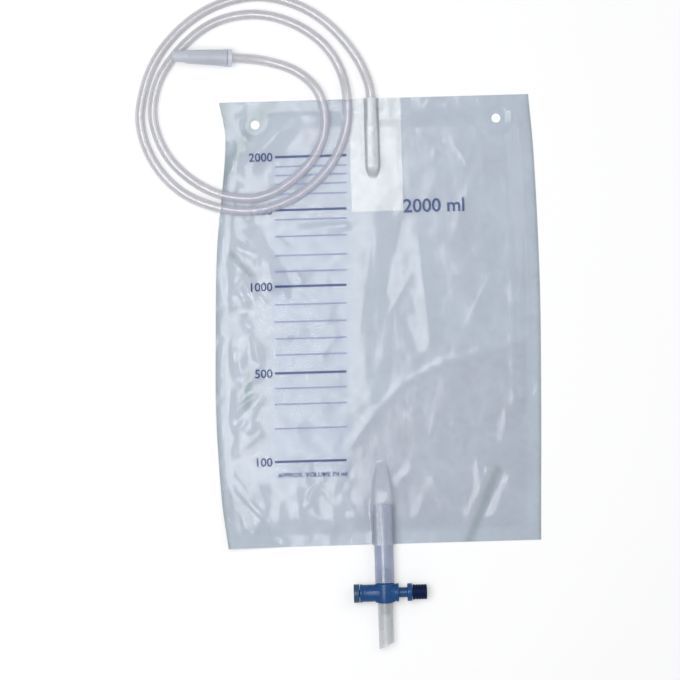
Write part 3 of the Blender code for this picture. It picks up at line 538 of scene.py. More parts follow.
def front_level(x, y):
    """Height of the front film's underside."""
    inside = from_weld(x, y)
    loose = smooth_step(inside / SLACK_RISE)
    relief = fold_height(x, y) + crease_height(x, y)
    relief += noise_field(x, y, *SLACK_WAVE) * loose
    relief *= WELDED_FOLD + (1 - WELDED_FOLD) * smooth_step(inside / FOLD_EASE)
    off_pads = smooth_step(from_pads(x, y) / (EYELET_PAD / 2))
    slack = np.maximum(loose * SLACK + relief, 0.0) * off_pads
    pressed = np.minimum(PRESSED_SHARE * slack, PRESSED + GAP)
    free = smooth_step((loop_distance(x, y) - PRESS_WIDTH) / PRESS_REACH)
    slack = pressed + (slack - pressed) * free
    lift = np.maximum(outlet_lift(x, y), sleeve_lift(x, y) + inlet_lift(x, y))
    ripple = sum(noise_field(x, y, *ripple) for ripple in WELD_RIPPLES) * (1 - loose)
    fused = (GAP - FUSED_GAP) * closed_seam(x, y)
    return WELD_LEVEL + np.maximum(slack, lift) - fused + np.maximum(ripple, 0.0) + curl(x, y)


def back_level(x, y):
    return back_lift(x, y) + curl(x, y)


# Meshes

def add_object(name, data, material=None):
    thing = bpy.data.objects.new(name, data)
    bpy.context.scene.collection.objects.link(thing)
    if material:
        data.materials.append(material)
    return thing


def add_mesh(name, points, faces, sharp, material):
    """A smooth mesh with its edges sharp past an angle in degrees."""
    mesh = bpy.data.meshes.new(name)
    mesh.from_pydata(points.tolist(), [], faces.tolist())
    mesh.update()
    mesh.shade_smooth()
    mesh.set_sharp_from_angle(angle=math.radians(sharp))
    return add_object(name, mesh, material)


def middle_columns():
    """Grid lines about the middle line: even, and closer where a tube's side falls away."""
    lines = [i * COLUMN_STEP for i in range(NEAR_COLUMNS)]
    for radius, half_width in ((INLET_RADIUS, SLEEVE_TENT), (OUTLET_RADIUS, OUTLET_TENT)):
        lines += [radius + GAP, radius + 1.5 * GAP, radius + 2 * GAP]
        lines += [half_width * share for share in SIDE_COLUMNS]
    kept = []
    for line in sorted(lines):
        if not kept or line - kept[-1] > GAP / 2:
            kept.append(line)
    return np.array([-line for line in kept[:0:-1]] + kept)


def film_grid(step):
    """Grid over the bag's outline: x and y as rows by columns."""
    middle = middle_columns()
    reach = middle[-1]
    rows = np.linspace(TOP, BOTTOM, round(BAG_HEIGHT / step) + 1)
    count = round((BAG_WIDTH / 2 - reach) / step)
    shares = np.arange(1, count + 1) / count
    left = -reach + (left_edge(rows)[:, None] + reach) * shares
    right = reach + (right_edge(rows)[:, None] - reach) * shares
    x = np.concatenate([left[:, ::-1], np.tile(middle, (len(rows), 1)), right], axis=1)
    return x, np.repeat(rows[:, None], x.shape[1], axis=1)


def grid_faces(kept):
    """Faces of a grid, given which of its cells are kept."""
    r, c = np.nonzero(kept)
    cols = kept.shape[1] + 1
    corner = r * cols + c
    return np.stack([corner, corner + cols, corner + cols + 1, corner + 1], axis=1)


def all_cells(rows, cols):
    return np.ones((rows - 1, cols - 1), bool)


def with_eyelets(x, y, reach, rings=4):
    """Points and faces of a grid with the two eyelets' round holes in it."""
    cols = x.shape[1]
    points = np.stack([x.ravel(), y.ravel()], axis=1)
    kept = all_cells(*x.shape)
    added, bands = [], []
    first = len(points)
    for ex, ey in EYELETS:
        r0 = int(np.argmin(np.abs(y[:, 0] - ey)))
        c0 = int(np.argmin(np.abs(x[r0] - ex)))
        kept[r0 - reach:r0 + reach, c0 - reach:c0 + reach] = False
        span = np.arange(-reach, reach)
        ids = np.concatenate([(r0 - reach) * cols + c0 + span, (r0 + span) * cols + c0 + reach,
                              (r0 + reach) * cols + c0 - span, (r0 - span) * cols + c0 - reach])
        outer = points[ids]
        toward = outer - (ex, ey)
        toward /= np.linalg.norm(toward, axis=1)[:, None]
        inner = np.array((ex, ey)) + toward * EYELET_BORE / 2
        for k in range(1, rings + 1):
            added.append(outer + (inner - outer) * k / rings)
            new = first + np.arange(len(ids))
            first += len(ids)
            bands.append(np.stack([ids, new, np.roll(new, -1), np.roll(ids, -1)], axis=1))
            ids = new
    return np.concatenate([points, *added]), np.concatenate([grid_faces(kept), *bands])


def thin_sheet(name, points, faces, under, thickness, material):
    """A closed thin sheet over plan points. The height of its underside comes from under."""
    used = np.unique(faces)
    renumber = np.full(len(points), -1)
    renumber[used] = np.arange(len(used))
    points, faces = points[used], renumber[faces]
    low = under(*points.T)
    count = len(points)
    directed = np.concatenate([faces[:, [i, (i + 1) % 4]] for i in range(4)])
    keys = directed[:, 0] * count + directed[:, 1]
    back = directed[:, 1] * count + directed[:, 0]
    a, b = directed[~np.isin(keys, back)].T
    sides = np.stack([b, a, a + count, b + count], axis=1)
    skins = [np.column_stack([points, low + thickness]), np.column_stack([points, low])]
    sheet = add_mesh(name, np.concatenate(skins),
                     np.concatenate([faces, faces[:, ::-1] + count, sides]), 60, material)
    return sheet, points


def note(thing, name, values):
    """Store a number for each point of an outer skin and of its inner one, for the material."""
    layer = thing.data.attributes.new(name, "FLOAT", "POINT")
    layer.data.foreach_set("value", np.concatenate([values, values]).astype(np.float32))


def soften(outline, radius):
    """Round the inner corners of an outline of (along, radius) points."""
    most, straight, steps = 0.45, math.radians(165), 4
    made = [outline[0]]
    for before, corner, after in zip(outline, outline[1:], outline[2:]):
        a, c, b = Vector(before), Vector(corner), Vector(after)
        reach = min(radius, (a - c).length * most, (b - c).length * most)
        if reach <= 1e-6 or (a - c).angle(b - c, math.pi) > straight:
            made.append(tuple(c))
            continue
        start, end = c + (a - c).normalized() * reach, c + (b - c).normalized() * reach
        for i in range(steps + 1):
            t = i / steps
            made.append(tuple(start * (1 - t) ** 2 + c * (2 * t * (1 - t)) + end * t * t))
    return made + [outline[-1]]


def stepped(*turns):
    """An outline in square steps off the axis: a place, then radius and place by turns."""
    at, points = turns[0], [(turns[0], 0.0)]
    for radius, place in zip(turns[1::2], turns[2::2]):
        points += [(at, radius), (place, radius)]
        at = place
    return points + [(at, 0.0)]


def turned(name, outline, material, closed=False, sides=None, soft=None):
    """Spin an outline of (along, radius) points, softened or not, round the local X axis."""
    if soft:
        outline = soften(outline, soft)
    mesh = bpy.data.meshes.new(name)
    bm = bmesh.new()
    points = [bm.verts.new((along, 0.0, max(radius, 0.0))) for along, radius in outline]
    edges = [bm.edges.new(pair) for pair in zip(points, points[1:])]
    if closed:
        edges.append(bm.edges.new((points[-1], points[0])))
    bmesh.ops.spin(bm, geom=points + edges, cent=(0, 0, 0), axis=(1, 0, 0),
                   angle=math.tau, steps=sides or sizes().sides, use_merge=True)
    bmesh.ops.remove_doubles(bm, verts=bm.verts, dist=1e-7)
    bmesh.ops.recalc_face_normals(bm, faces=bm.faces)
    bm.to_mesh(mesh)
    bm.free()
    mesh.shade_smooth()
    mesh.set_sharp_from_angle(angle=math.radians(40))
    return add_object(name, mesh, material)


def finished_mesh(thing):
    bpy.context.view_layer.update()
    made = thing.evaluated_get(bpy.context.evaluated_depsgraph_get())
    return bpy.data.meshes.new_from_object(made)


def carve(thing, cuts):
    """Join or cut with other solids, in order, then drop them."""
    for other, operation in cuts:
        step = thing.modifiers.new(other.name, "BOOLEAN")
        step.object, step.operation, step.solver = other, operation, "EXACT"
    made = finished_mesh(thing)
    thing.modifiers.clear()
    old, thing.data = thing.data, made
    bpy.data.meshes.remove(old)
    for other, _ in cuts:
        bpy.data.objects.remove(other)
    made.shade_smooth()
    made.set_sharp_from_angle(angle=math.radians(35))
    return thing


def hollow_tube(name, line, outer, inner, sides, material):
    """A tube with a bore along a line of points, its two ends closed by rings."""
    along = np.gradient(line, axis=0)
    along /= np.linalg.norm(along, axis=1)[:, None]
    side = np.cross((0.0, 0.0, 1.0), along)
    side /= np.linalg.norm(side, axis=1)[:, None]
    lift = np.cross(along, side)
    turn = np.arange(sides)[:, None] * math.tau / sides
    spokes = np.cos(turn) * side[:, None] + np.sin(turn) * lift[:, None]
    skins = [(line[:, None] + radius * spokes).reshape(-1, 3) for radius in (outer, inner)]
    count = len(line) * sides
    a = np.arange(count)
    b = a - a % sides + (a + 1) % sides
    ring, end = (a[:sides], b[:sides]), (a[-sides:], b[-sides:])
    a, b = a[:-sides], b[:-sides]
    faces = [(a, b, b + sides, a + sides),
             (a + count, a + sides + count, b + sides + count, b + count),
             (ring[0], ring[0] + count, ring[1] + count, ring[1]),
             (end[0], end[1], end[1] + count, end[0] + count)]
    faces = np.concatenate([np.stack(corners, axis=1) for corners in faces])
    return add_mesh(name, np.concatenate(skins), faces, 50, material)


# Materials

def feed(tree, node, inputs):
    """Fill a node's inputs. Each is a plain value or the socket that feeds it."""
    for name, value in inputs.items():
        if isinstance(value, bpy.types.NodeSocket):
            tree.links.new(value, node.inputs[name])
        else:
            node.inputs[name].default_value = value


def put(tree, kind, inputs=None, **settings):
    """Add a shader node and fill its inputs."""
    made = tree.nodes.new("ShaderNode" + kind)
    for name, value in settings.items():
        setattr(made, name, value)
    feed(tree, made, inputs or {})
    return made


def shade(colour, factor):
    return tuple(min(channel * factor, 1.0) for channel in colour)


def mottle(tree, colour, cloud, *stops):
    """A colour that drifts with noise. Stops are (place, share of the colour)."""
    made = put(tree, "ValToRGB", {"Fac": cloud})
    for point, (place, share) in zip(made.color_ramp.elements, stops):
        point.position = place
        point.color = (*shade(colour, share), 1.0)
    return made.outputs["Color"]


def new_material(name, **settings):
    """A material with a Principled shader, its plain numbers set on its own sockets."""
    material = bpy.data.materials.new(name)
    material.use_nodes = True
    tree = material.node_tree
    shader = tree.nodes["Principled BSDF"]
    feed(tree, shader, {socket.replace("_", " "): value for socket, value in settings.items()})
    return material, tree, shader


def object_noise(tree, scale, detail=3.0, rough=0.5, stretch=(1, 1, 1), turn=0.0):
    """Noise laid out in the object's own metres."""
    place = put(tree, "Mapping", {"Vector": put(tree, "TexCoord").outputs["Object"],
                                  "Rotation": (0, 0, math.radians(turn)),
                                  "Scale": tuple(scale * s for s in stretch)}).outputs["Vector"]
    return put(tree, "TexNoise", {"Vector": place, "Scale": 1.0, "Detail": detail,
                                  "Roughness": rough}).outputs["Fac"]


def noted(tree, name):
    return put(tree, "Attribute", attribute_name=name).outputs["Fac"]


def maths(tree, operation, a, b=0.0):
    return put(tree, "Math", {0: a, 1: b}, operation=operation).outputs[0]


def mix(tree, factor, a, colour, blend="MIX"):
    inputs = {0: factor, 6: a, 7: (*colour, 1.0)}
    return put(tree, "Mix", inputs, data_type="RGBA", blend_type=blend).outputs[2]


def spread_to(tree, value, low, high, to_low, to_high):
    return put(tree, "MapRange", {"Value": value, "From Min": low, "From Max": high,
                                  "To Min": to_low, "To Max": to_high}).outputs["Result"]


def worn(tree, smear, low, high):
    """A roughness that drifts with noise."""
    return spread_to(tree, smear, 0.3, 0.7, low, high)


def by_view(tree, blend, middle, edge, power=1.0):
    """How solid a clear skin is: middle where the eye meets it squarely, edge along it."""
    facing = put(tree, "LayerWeight", {"Blend": blend}).outputs["Facing"]
    if power != 1.0:
        facing = maths(tree, "POWER", facing, power)
    return spread_to(tree, facing, 0.0, 1.0, middle, edge)


def bump(tree, height, strength, distance, below=None):
    inputs = {"Height": height, "Strength": strength, "Distance": distance}
    if below:
        inputs["Normal"] = below
    return put(tree, "Bump", inputs).outputs["Normal"]


def finish(name, colour, cloud, stops, smear, rough, grain, relief, solid=None, **settings):
    """A material of three noises: one drifts its colour, one wears its gloss, one is its skin."""
    material, tree, shader = new_material(name, **settings)
    feed(tree, shader, {"Base Color": mottle(tree, colour, object_noise(tree, *cloud), *stops),
                        "Roughness": worn(tree, object_noise(tree, *smear), *rough),
                        "Normal": bump(tree, object_noise(tree, *grain), *relief)})
    if solid:
        feed(tree, shader, {"Alpha": by_view(tree, *solid)})
    return material, tree, shader


def source(shader, key):
    """The socket that feeds one of a shader's inputs."""
    return shader.inputs[key].links[0].from_socket


def film_material(name, colour, see_through, specular, rough):
    """Soft glossy film with faint creases. The clear one shows what lies behind it."""
    material, tree, shader = finish(
        name, colour, cloud=(38.0, 3.0), stops=((0.30, 0.95), (0.70, 1.04)), smear=(160.0, 2.0),
        rough=(rough * 0.7, rough * 1.5), grain=(120.0, 2.0, 0.5, (1.0, 0.5, 0.1), -20.0),
        relief=(0.25, 0.0006), solid=see_through and (0.35, see_through, see_through + 0.06),
        Specular_IOR_Level=specular, IOR=1.5)
    plain = source(shader, "Base Color")
    # two of these tones are painted shade: darker along the fold valleys and along the side edges
    for key, tone in FILM_TONES_AND_SHADES:
        plain = mix(tree, noted(tree, key), plain, tone, "MULTIPLY")
    bead = maths(tree, "MULTIPLY", maths(tree, "ABSOLUTE", noted(tree, "inside")), BEAD_FALL)
    bead = maths(tree, "SUBTRACT", 1.0, maths(tree, "MINIMUM", bead, 1.0))
    fine = object_noise(tree, 420.0, 3.0, 0.6, (1.0, 0.45, 0.1), 25.0)
    normal = bump(tree, fine, 0.14, 0.0002, source(shader, "Normal"))
    feed(tree, shader, {"Base Color": plain, "Normal": bump(tree, bead, 0.06, 0.0003, normal)})
    return material


def sleeve_material(name, colour, solid):
    """Milky film of the sleeve, with a bright gloss."""
    return finish(
        name, colour, cloud=(90.0, 3.0, 0.5, (1.0, 0.4, 1.0)), stops=((0.3, 0.9), (0.7, 1.06)),
        smear=(220.0,), rough=(0.22, 0.36), grain=(300.0, 3.0, 0.6, (1.0, 0.3, 0.1)),
        relief=(0.2, 0.0003), solid=solid < 1.0 and (0.3, solid, solid + 0.08),
        Specular_IOR_Level=1.0, IOR=1.72)[0]


def tube_material(name, colour, middle, edge, rough, power=1.0, ior=1.5, painted_light_on_bag=None):
    """Clear soft tube: more solid where the eye looks along its wall, and painted paler and clearer
    on the bag, as painted light in place of the light a clear tube lets through onto the film.
    """
    material, tree, shader = finish(
        name, colour, cloud=(70.0, 2.0), stops=((0.3, 0.92), (0.7, 1.07)), smear=(260.0, 2.0),
        rough=(rough * 0.8, rough * 1.5), grain=(130.0, 1.0), relief=(0.06, 0.0002),
        solid=(0.5, middle, edge, power), Specular_IOR_Level=1.0, IOR=ior)
    if painted_light_on_bag:
        # painted light: over the bag the tube is drawn paler and more see-through, so it casts less
        # shade on the film
        share = noted(tree, "painted_light_on_bag")
        thinner = spread_to(tree, share, 0.0, 1.0, 1.0, 0.75)
        feed(tree, shader, {"Base Color": mix(tree, share, source(shader, "Base Color"), painted_light_on_bag),
                            "Alpha": maths(tree, "MULTIPLY", source(shader, "Alpha"), thinner)})
    return material


def moulded_material(name, colour, rough, grain=900.0, solid=None, specular=0.5):
    """Moulded plastic: faint flow marks, an orange-peel skin, and a worn gloss."""
    return finish(
        name, colour, cloud=(110.0, 4.0, 0.55, (0.4, 1.0, 1.0)), stops=((0.25, 0.86), (0.75, 1.14)),
        smear=(380.0, 3.0), rough=(rough * 0.8, rough * 1.3), grain=(grain, 2.0),
        relief=(0.12, 0.0001), solid=solid and (0.4, solid, 0.97), Specular_IOR_Level=specular)[0]


def ink_material(name, colour):
    patch = (900.0, 3.0, 0.6)
    return finish(name, colour, cloud=patch, stops=((0.30, 0.8), (0.72, 1.5)), smear=patch,
                  rough=(0.30, 0.45), grain=patch, relief=(0.2, 0.00005), Specular_IOR_Level=0.4)[0]


# Print

def draped(points, tree):
    """Height of the film under plan points."""
    heights = []
    for x, y in points:
        hit = tree.ray_cast(Vector((x, y, RAY_FROM)), Vector((0, 0, -1)))[0]
        if hit is None:
            raise RuntimeError(f"the print at {x:.4f}, {y:.4f} has no film under it")
        heights.append(hit.z)
    return np.array(heights)


def film_tree():
    film = bpy.data.objects.get("front_sheet")
    if film is None:
        raise RuntimeError("the films come before their print")
    bm = bmesh.new()
    bm.from_mesh(film.data)
    tree = BVHTree.FromBMesh(bm)
    bm.free()
    return tree


def mark_middle(y):
    return MARK_MIDDLE + MARK_LEAN * (y - MIDDLE)


def lettering(text, height, y, right=None, left=None):
    """Flat mesh of a line of letters, standing with its middle at y: points and triangles."""
    words = bpy.data.curves.new("lettering", "FONT")
    words.body = text
    words.size = height / CAPITAL
    words.align_x = "LEFT"
    words.resolution_u = 3
    words.offset = BOLDNESS * height
    holder = add_object("lettering", words)
    mesh = finished_mesh(holder)
    bm = bmesh.new()
    bm.from_mesh(mesh)
    bmesh.ops.remove_doubles(bm, verts=bm.verts, dist=1e-6)
    bmesh.ops.dissolve_limit(bm, angle_limit=math.radians(1), verts=bm.verts, edges=bm.edges)
    bmesh.ops.triangulate(bm, faces=bm.faces)
    for _ in range(4):
        long = [e for e in bm.edges if e.calc_length() > LETTER_STEP]
        if not long:
            break
        bmesh.ops.subdivide_edges(bm, edges=long, cuts=1, use_grid_fill=False)
        bmesh.ops.triangulate(bm, faces=[f for f in bm.faces if len(f.verts) > 3])
    across = [v.co.x for v in bm.verts]
    shift = right - max(across) if right is not None else left - min(across)
    bm.verts.index_update()
    points = [(v.co.x + shift, v.co.y + y - height / 2) for v in bm.verts]
    faces = [tuple(v.index for v in f.verts) for f in bm.faces]
    bm.free()
    bpy.data.objects.remove(holder)
    bpy.data.curves.remove(words)
    bpy.data.meshes.remove(mesh)
    return points, faces


def printed(name, patches, material):
    """One thin piece of ink, draped on the film, from flat patches of points and faces."""
    tree = film_tree()
    bm = bmesh.new()
    for points, faces in patches:
        heights = draped(points, tree) + INK_LIFT
        upper, lower = ([bm.verts.new((x, y, z + thick)) for (x, y), z in zip(points, heights)]
                        for thick in (sizes().ink, 0.0))
        edges = {}
        for face in faces:
            corners = [points[i] for i in face]
            turn = zip(corners, corners[1:] + corners[:1])
            if sum(a[0] * b[1] - b[0] * a[1] for a, b in turn) < 0:
                face = face[::-1]
            bm.faces.new([upper[i] for i in face])
            bm.faces.new([lower[i] for i in reversed(face)])
            edges.update(((a, b), True) for a, b in zip(face, face[1:] + face[:1]))
        for a, b in edges:
            if (b, a) not in edges:
                bm.faces.new((upper[b], upper[a], lower[a], lower[b]))
    mesh = bpy.data.meshes.new(name)
    bm.to_mesh(mesh)
    bm.free()
    return add_object(name, mesh, material)


def line_patch(middle, y, length, thickness):
    """Plan points and faces of a ruled line."""
    count = round(length / COLUMN_STEP)
    xs = np.linspace(middle - length / 2, middle + length / 2, count + 1)
    points = [(float(x), y + row * thickness / 2) for row in (1, 0, -1) for x in xs]
    return points, [tuple(face) for face in grid_faces(all_cells(3, count + 1)).tolist()]


# Pieces

def ride_on(thing, body, slot, *nodes):
    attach(thing, body)
    if nodes:
        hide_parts(*nodes)
    return thing


def connector_frame():
    """Place of the connector: its flange's tube-side face at the origin, nozzle along local X."""
    tilt = math.radians(CONNECTOR_TILT)
    height = FLANGE_DIAMETER / 2 * math.cos(tilt) + GAP
    place = Matrix.Translation((CONNECTOR_FACE[0], TOP + CONNECTOR_FACE[1], height))
    heading = Matrix.Rotation(math.radians(CONNECTOR_HEADING), 4, "Z")
    return place @ heading @ Matrix.Rotation(-tilt, 4, "Y")


def inlet_line():
    """Centre of the inlet tube, from inside the bag to the connector's socket."""
    place = connector_frame()
    route = [(x, TOP + y, z) for x, y, z in ROUTE]
    route += [place @ Vector((along, 0, 0)) for along in (-SOCKET_DEPTH, 0.0, SOCKET_DEPTH - GAP)]
    route = np.array(route)
    steps = np.linalg.norm(np.diff(route, axis=0), axis=1)
    knots = np.concatenate([[0.0], np.cumsum(steps)])
    stations = np.concatenate([np.linspace(a, b, ROUTE_STATIONS, endpoint=False)
                               for a, b in zip(knots, knots[1:])] + [knots[-1:]])
    line = smooth_value(knots, route, stations, evened=2)
    line[:, 2] = np.maximum(line[:, 2], FLOOR_Z)
    return line


SEAT_RADIUS = INLET_RADIUS + GAP + SOCKET_WALL
NOZZLE_START = FLANGE_THICKNESS + SEAT_LENGTH
NOZZLE_END = NOZZLE_START + NOZZLE_LENGTH


def nozzle_radius(share):
    base = SEAT_RADIUS - GAP
    return base + (NOZZLE_TIP / 2 - base) * share


def on_tap(thing):
    thing.location = (0, TAP_Y, OUTLET_Z)
    bpy.context.view_layer.update()
    return thing


def along_y(thing):
    thing.rotation_euler = (0, 0, math.pi / 2)
    return on_tap(thing)


class DRAINAGE_BAG_OT_stage(bpy.types.Operator):
    """Floor, soft studio light and the camera over the bag"""

    bl_idname = "drainage_bag.stage"
    bl_label = "Stage"

    camera_place = (-0.0264, 0.0240, 2.0)
    camera_turn = -1.65
    field = 0.476
    floor_half = 3.0
    floor_glow = 0.35             # share of plain white that the floor has to the eye
    fill_strength = 0.38

    def execute(self, context):
        self.make_camera(context)
        self.make_floor()
        self.make_world(context)
        self.make_lamp("key_light", (-0.40, 0.04, 1.4), size=(0.82, 0.90), radiance=6.3,
                       target=(-0.40, 0.04, 0.0), roll=-12.0)
        self.make_lamp("fill_light", (0.75, 0.55, 1.3), size=(0.9, 0.9), radiance=1.4,
                       target=(0.0, 0.0, 0.0), roll=0.0)
        context.scene.view_settings.view_transform = "Standard"
        return {"FINISHED"}

    def make_camera(self, context):
        lens = bpy.data.cameras.new("camera")
        lens.sensor_width = 36.0
        lens.lens = lens.sensor_width * self.camera_place[2] / self.field
        camera = add_object("camera", lens)
        camera.location = self.camera_place
        camera.rotation_euler = (0, 0, math.radians(self.camera_turn))
        context.scene.camera = camera

    def make_floor(self):
        mesh = bpy.data.meshes.new("floor")
        half = self.floor_half
        mesh.from_pydata([(-half, -half, 0), (half, -half, 0), (half, half, 0), (-half, half, 0)],
                         [], [(0, 1, 2, 3)])
        material, tree, shader = new_material("floor", Roughness=0.7, Specular_IOR_Level=0.1)
        cloud = object_noise(tree, 3.0, 2.0)
        tone = mottle(tree, colours().floor, cloud, (0.3, 0.995), (0.7, 1.0))
        feed(tree, shader, {"Base Color": tone})
        glow = put(tree, "Emission", {"Color": (1.0, 1.0, 1.0, 1.0)})
        seen = put(tree, "LightPath").outputs["Is Camera Ray"]
        seen = maths(tree, "MULTIPLY", seen, self.floor_glow)
        mixed = put(tree, "MixShader", {"Fac": seen, 1: shader.outputs[0], 2: glow.outputs[0]})
        feed(tree, tree.nodes["Material Output"], {"Surface": mixed.outputs[0]})
        add_object("floor", mesh, material)

    def make_world(self, context):
        """White to the eye, in gloss and through glass, and a weaker even fill otherwise."""
        world = bpy.data.worlds.new("studio")
        world.use_nodes = True
        tree = world.node_tree
        tree.nodes.clear()
        path = put(tree, "LightPath").outputs
        seen = maths(tree, "MAXIMUM", path["Is Camera Ray"], path["Is Glossy Ray"])
        seen = maths(tree, "MAXIMUM", seen, path["Is Transmission Ray"])
        fill = put(tree, "Background", {"Color": (0.97, 0.98, 1.0, 1.0),
                                        "Strength": self.fill_strength})
        white = put(tree, "Background", {"Color": (1.0, 1.0, 1.0, 1.0), "Strength": 1.0})
        mixed = put(tree, "MixShader", {"Fac": seen, 1: fill.outputs[0], 2: white.outputs[0]})
        put(tree, "OutputWorld", {"Surface": mixed.outputs[0]})
        context.scene.world = world

    def make_lamp(self, name, place, size, radiance, target, roll):
        """A rectangular lamp of a given radiance, aimed at a point, rolled by some degrees."""
        lamp = bpy.data.lights.new(name, "AREA")
        lamp.shape = "RECTANGLE"
        lamp.size, lamp.size_y = size
        lamp.energy = radiance * math.pi * size[0] * size[1]
        thing = add_object(name, lamp)
        thing.location = place
        aim = Vector(target) - Vector(place)
        thing.rotation_euler = aim.to_track_quat("-Z", "Y").to_euler()
        thing.rotation_euler.z += math.radians(roll)
        thing.visible_camera = False


class DRAINAGE_BAG_OT_inlet(bpy.types.Operator):
    """Clear inlet tube in its two loops, with the stepped connector and its cap"""

    bl_idname = "drainage_bag.inlet"
    bl_label = "Inlet tube and connector"

    cord_exit = 0.017             # below the top edge
    dome = 0.6                    # of the cap's tip, as a share of its radius

    def execute(self, context):
        line = inlet_line()
        clear = tube_material("clear_tube", colours().clear_tube, middle=0.26, edge=0.84,
                              rough=0.13, power=2.4, ior=1.7, painted_light_on_bag=colours().tube_on_bag)
        tube = hollow_tube("inlet_hose", line, INLET_RADIUS, INLET_RADIUS - sizes().tube_wall,
                           TUBE_SIDES, clear)
        inside = from_weld(line[:, 0], line[:, 1]) + WELD_WIDTH
        # share of the tube that lies on the bag, where it gets painted light
        note(tube, "painted_light_on_bag", np.repeat(smooth_step(inside / SEAM_EASE), TUBE_SIDES))
        ride_on(tube, "bag", "clear_tube", "inlet_tube")
        connector = self.make_connector()
        cap = self.make_cap()
        return {"FINISHED"}

    def make_connector(self):
        """Socket, grip flange and three conical steps, with the bore through them."""
        bore, socket = NOZZLE_BORE / 2, INLET_RADIUS + GAP
        outline = stepped(0.0, FLANGE_DIAMETER / 2, FLANGE_THICKNESS, SEAT_RADIUS, NOZZLE_START)
        outline = [(0.0, socket), *outline[1:-1]]
        step = NOZZLE_LENGTH / NOZZLE_STEPS
        for i in range(NOZZLE_STEPS):
            start, radius = NOZZLE_START + i * step, nozzle_radius((i + 1) / NOZZLE_STEPS)
            outline += [(start, radius + NOZZLE_TAPER), (start + step, radius)]
        outline += [(NOZZLE_END, bore), (SOCKET_DEPTH, bore), (SOCKET_DEPTH, socket)]
        colour = shade(colours().milky, 1.2)
        material = moulded_material("connector_plastic", colour, rough=0.28, solid=0.8)
        connector = turned("stepped_connector", outline, material, closed=True, soft=0.0004)
        connector.matrix_world = connector_frame()
        return ride_on(connector, "bag", "milky_plastic", "catheter_connector")

    def make_cap(self):
        """Soft protective cap with a rim and a domed tip."""
        start = FLANGE_THICKNESS + GAP
        mouth = SEAT_RADIUS + GAP
        inner_tip = NOZZLE_TIP / 2 + GAP
        last_step = (NOZZLE_STEPS - 1) / NOZZLE_STEPS
        shoulder = NOZZLE_START + NOZZLE_LENGTH * last_step
        inner = [nozzle_radius(share) + NOZZLE_TAPER + GAP for share in (last_step, 1.0)]
        outer_tip = max(CAP_TIP / 2, inner_tip + CAP_WALL)
        end = NOZZLE_END + GAP
        dome = outer_tip * self.dome
        outline = [(end + CAP_WALL - dome + dome * math.cos(a), outer_tip * math.sin(a))
                   for a in np.linspace(0, math.pi / 2, 10)]
        outline[0] = (end + CAP_WALL, 0.0)
        outline += [(shoulder + 2 * CAP_WALL, outer_tip + GAP),
                    (shoulder, max(inner[0], outer_tip) + CAP_WALL),
                    (start + CAP_RIM_WIDTH + CAP_RIM, mouth + CAP_WALL),
                    (start + CAP_RIM_WIDTH, mouth + CAP_WALL + CAP_RIM),
                    (start, mouth + CAP_WALL + CAP_RIM),
                    (start, mouth), (NOZZLE_START, mouth), (shoulder, inner[0]),
                    (shoulder + CAP_WALL, inner[1]), (end, inner_tip), (end, 0.0)]
        material = moulded_material("cap_plastic", colours().milky, rough=0.30, solid=0.72)
        cap = turned("soft_cap", outline, material, soft=0.0003)
        cap.matrix_world = connector_frame()
        return ride_on(cap, "cap", "milky_plastic", "connector_cap")


class DRAINAGE_BAG_OT_films(bpy.types.Operator):
    """Clear front film and white back film, welded round their border, with two eyelets"""

    bl_idname = "drainage_bag.films"
    bl_label = "Films"

    ease = 0.002
    scale_top = 0.003             # tinted part of the film, past the scale's last marks
    scale_foot = 0.013
    # width of the painted shade along the film's side edges
    rim = 0.0008

    def execute(self, context):
        step = sizes().film_step
        clear = film_material("clear_film", colours().clear_film, see_through=0.20, specular=1.0,
                              rough=0.14)
        white = film_material("white_film", colours().white_film, see_through=None, specular=0.35,
                              rough=0.28)
        front = self.make_film("front_sheet", step, 5, front_level, sizes().film, clear)
        back = self.make_film("back_sheet", 2 * step, 3, back_level, FILM, white)
        ride_on(front, "bag", "clear_film", "front_film")
        ride_on(back, "bag", "white_film", "back_film")
        return {"FINISHED"}

    def make_film(self, name, step, eyelet_reach, under, thickness, material):
        points, faces = with_eyelets(*film_grid(step), eyelet_reach)
        sheet, kept = thin_sheet(name, points, faces, under, thickness, material)
        self.annotate(sheet, *kept.T)
        return sheet

    def annotate(self, sheet, x, y):
        """Note where the film is welded, touches the other one and is printed on, and where it gets
        painted shade along fold valleys and at its side edges.
        """
        inside = from_weld(x, y)
        note(sheet, "inside", inside)
        low = smooth_step((np.interp(x, *CONTACT.T) + TOP - y) / (1.75 * self.ease))
        low *= smooth_step((x - CONTACT_LEFT) / (3 * self.ease))
        note(sheet, "contact", low * smooth_step(inside / (2 * self.ease)))
        across = np.abs(x - mark_middle(y)) - MARK_LENGTH / 2 - self.ease
        down = np.maximum(y - MARKS[-1][1] - self.scale_top, MARKS[0][1] - self.scale_foot - y)
        tint = (1 - smooth_step(across / self.ease)) * (1 - smooth_step(down / self.ease))
        note(sheet, "tint", tint)
        # painted shade: the film is drawn darker along the fold valleys
        note(sheet, "valley_shade", np.max([np.exp(-(to_segment(x, y - TOP, *ends)[0] / width) ** 4)
                                     for *ends, width in VALLEY_SHADES], axis=0))
        # painted shade: the film is drawn darker along its side edges
        note(sheet, "rim", 1 - smooth_step((from_side(x, y) - self.rim) / (1.1 * self.ease)))


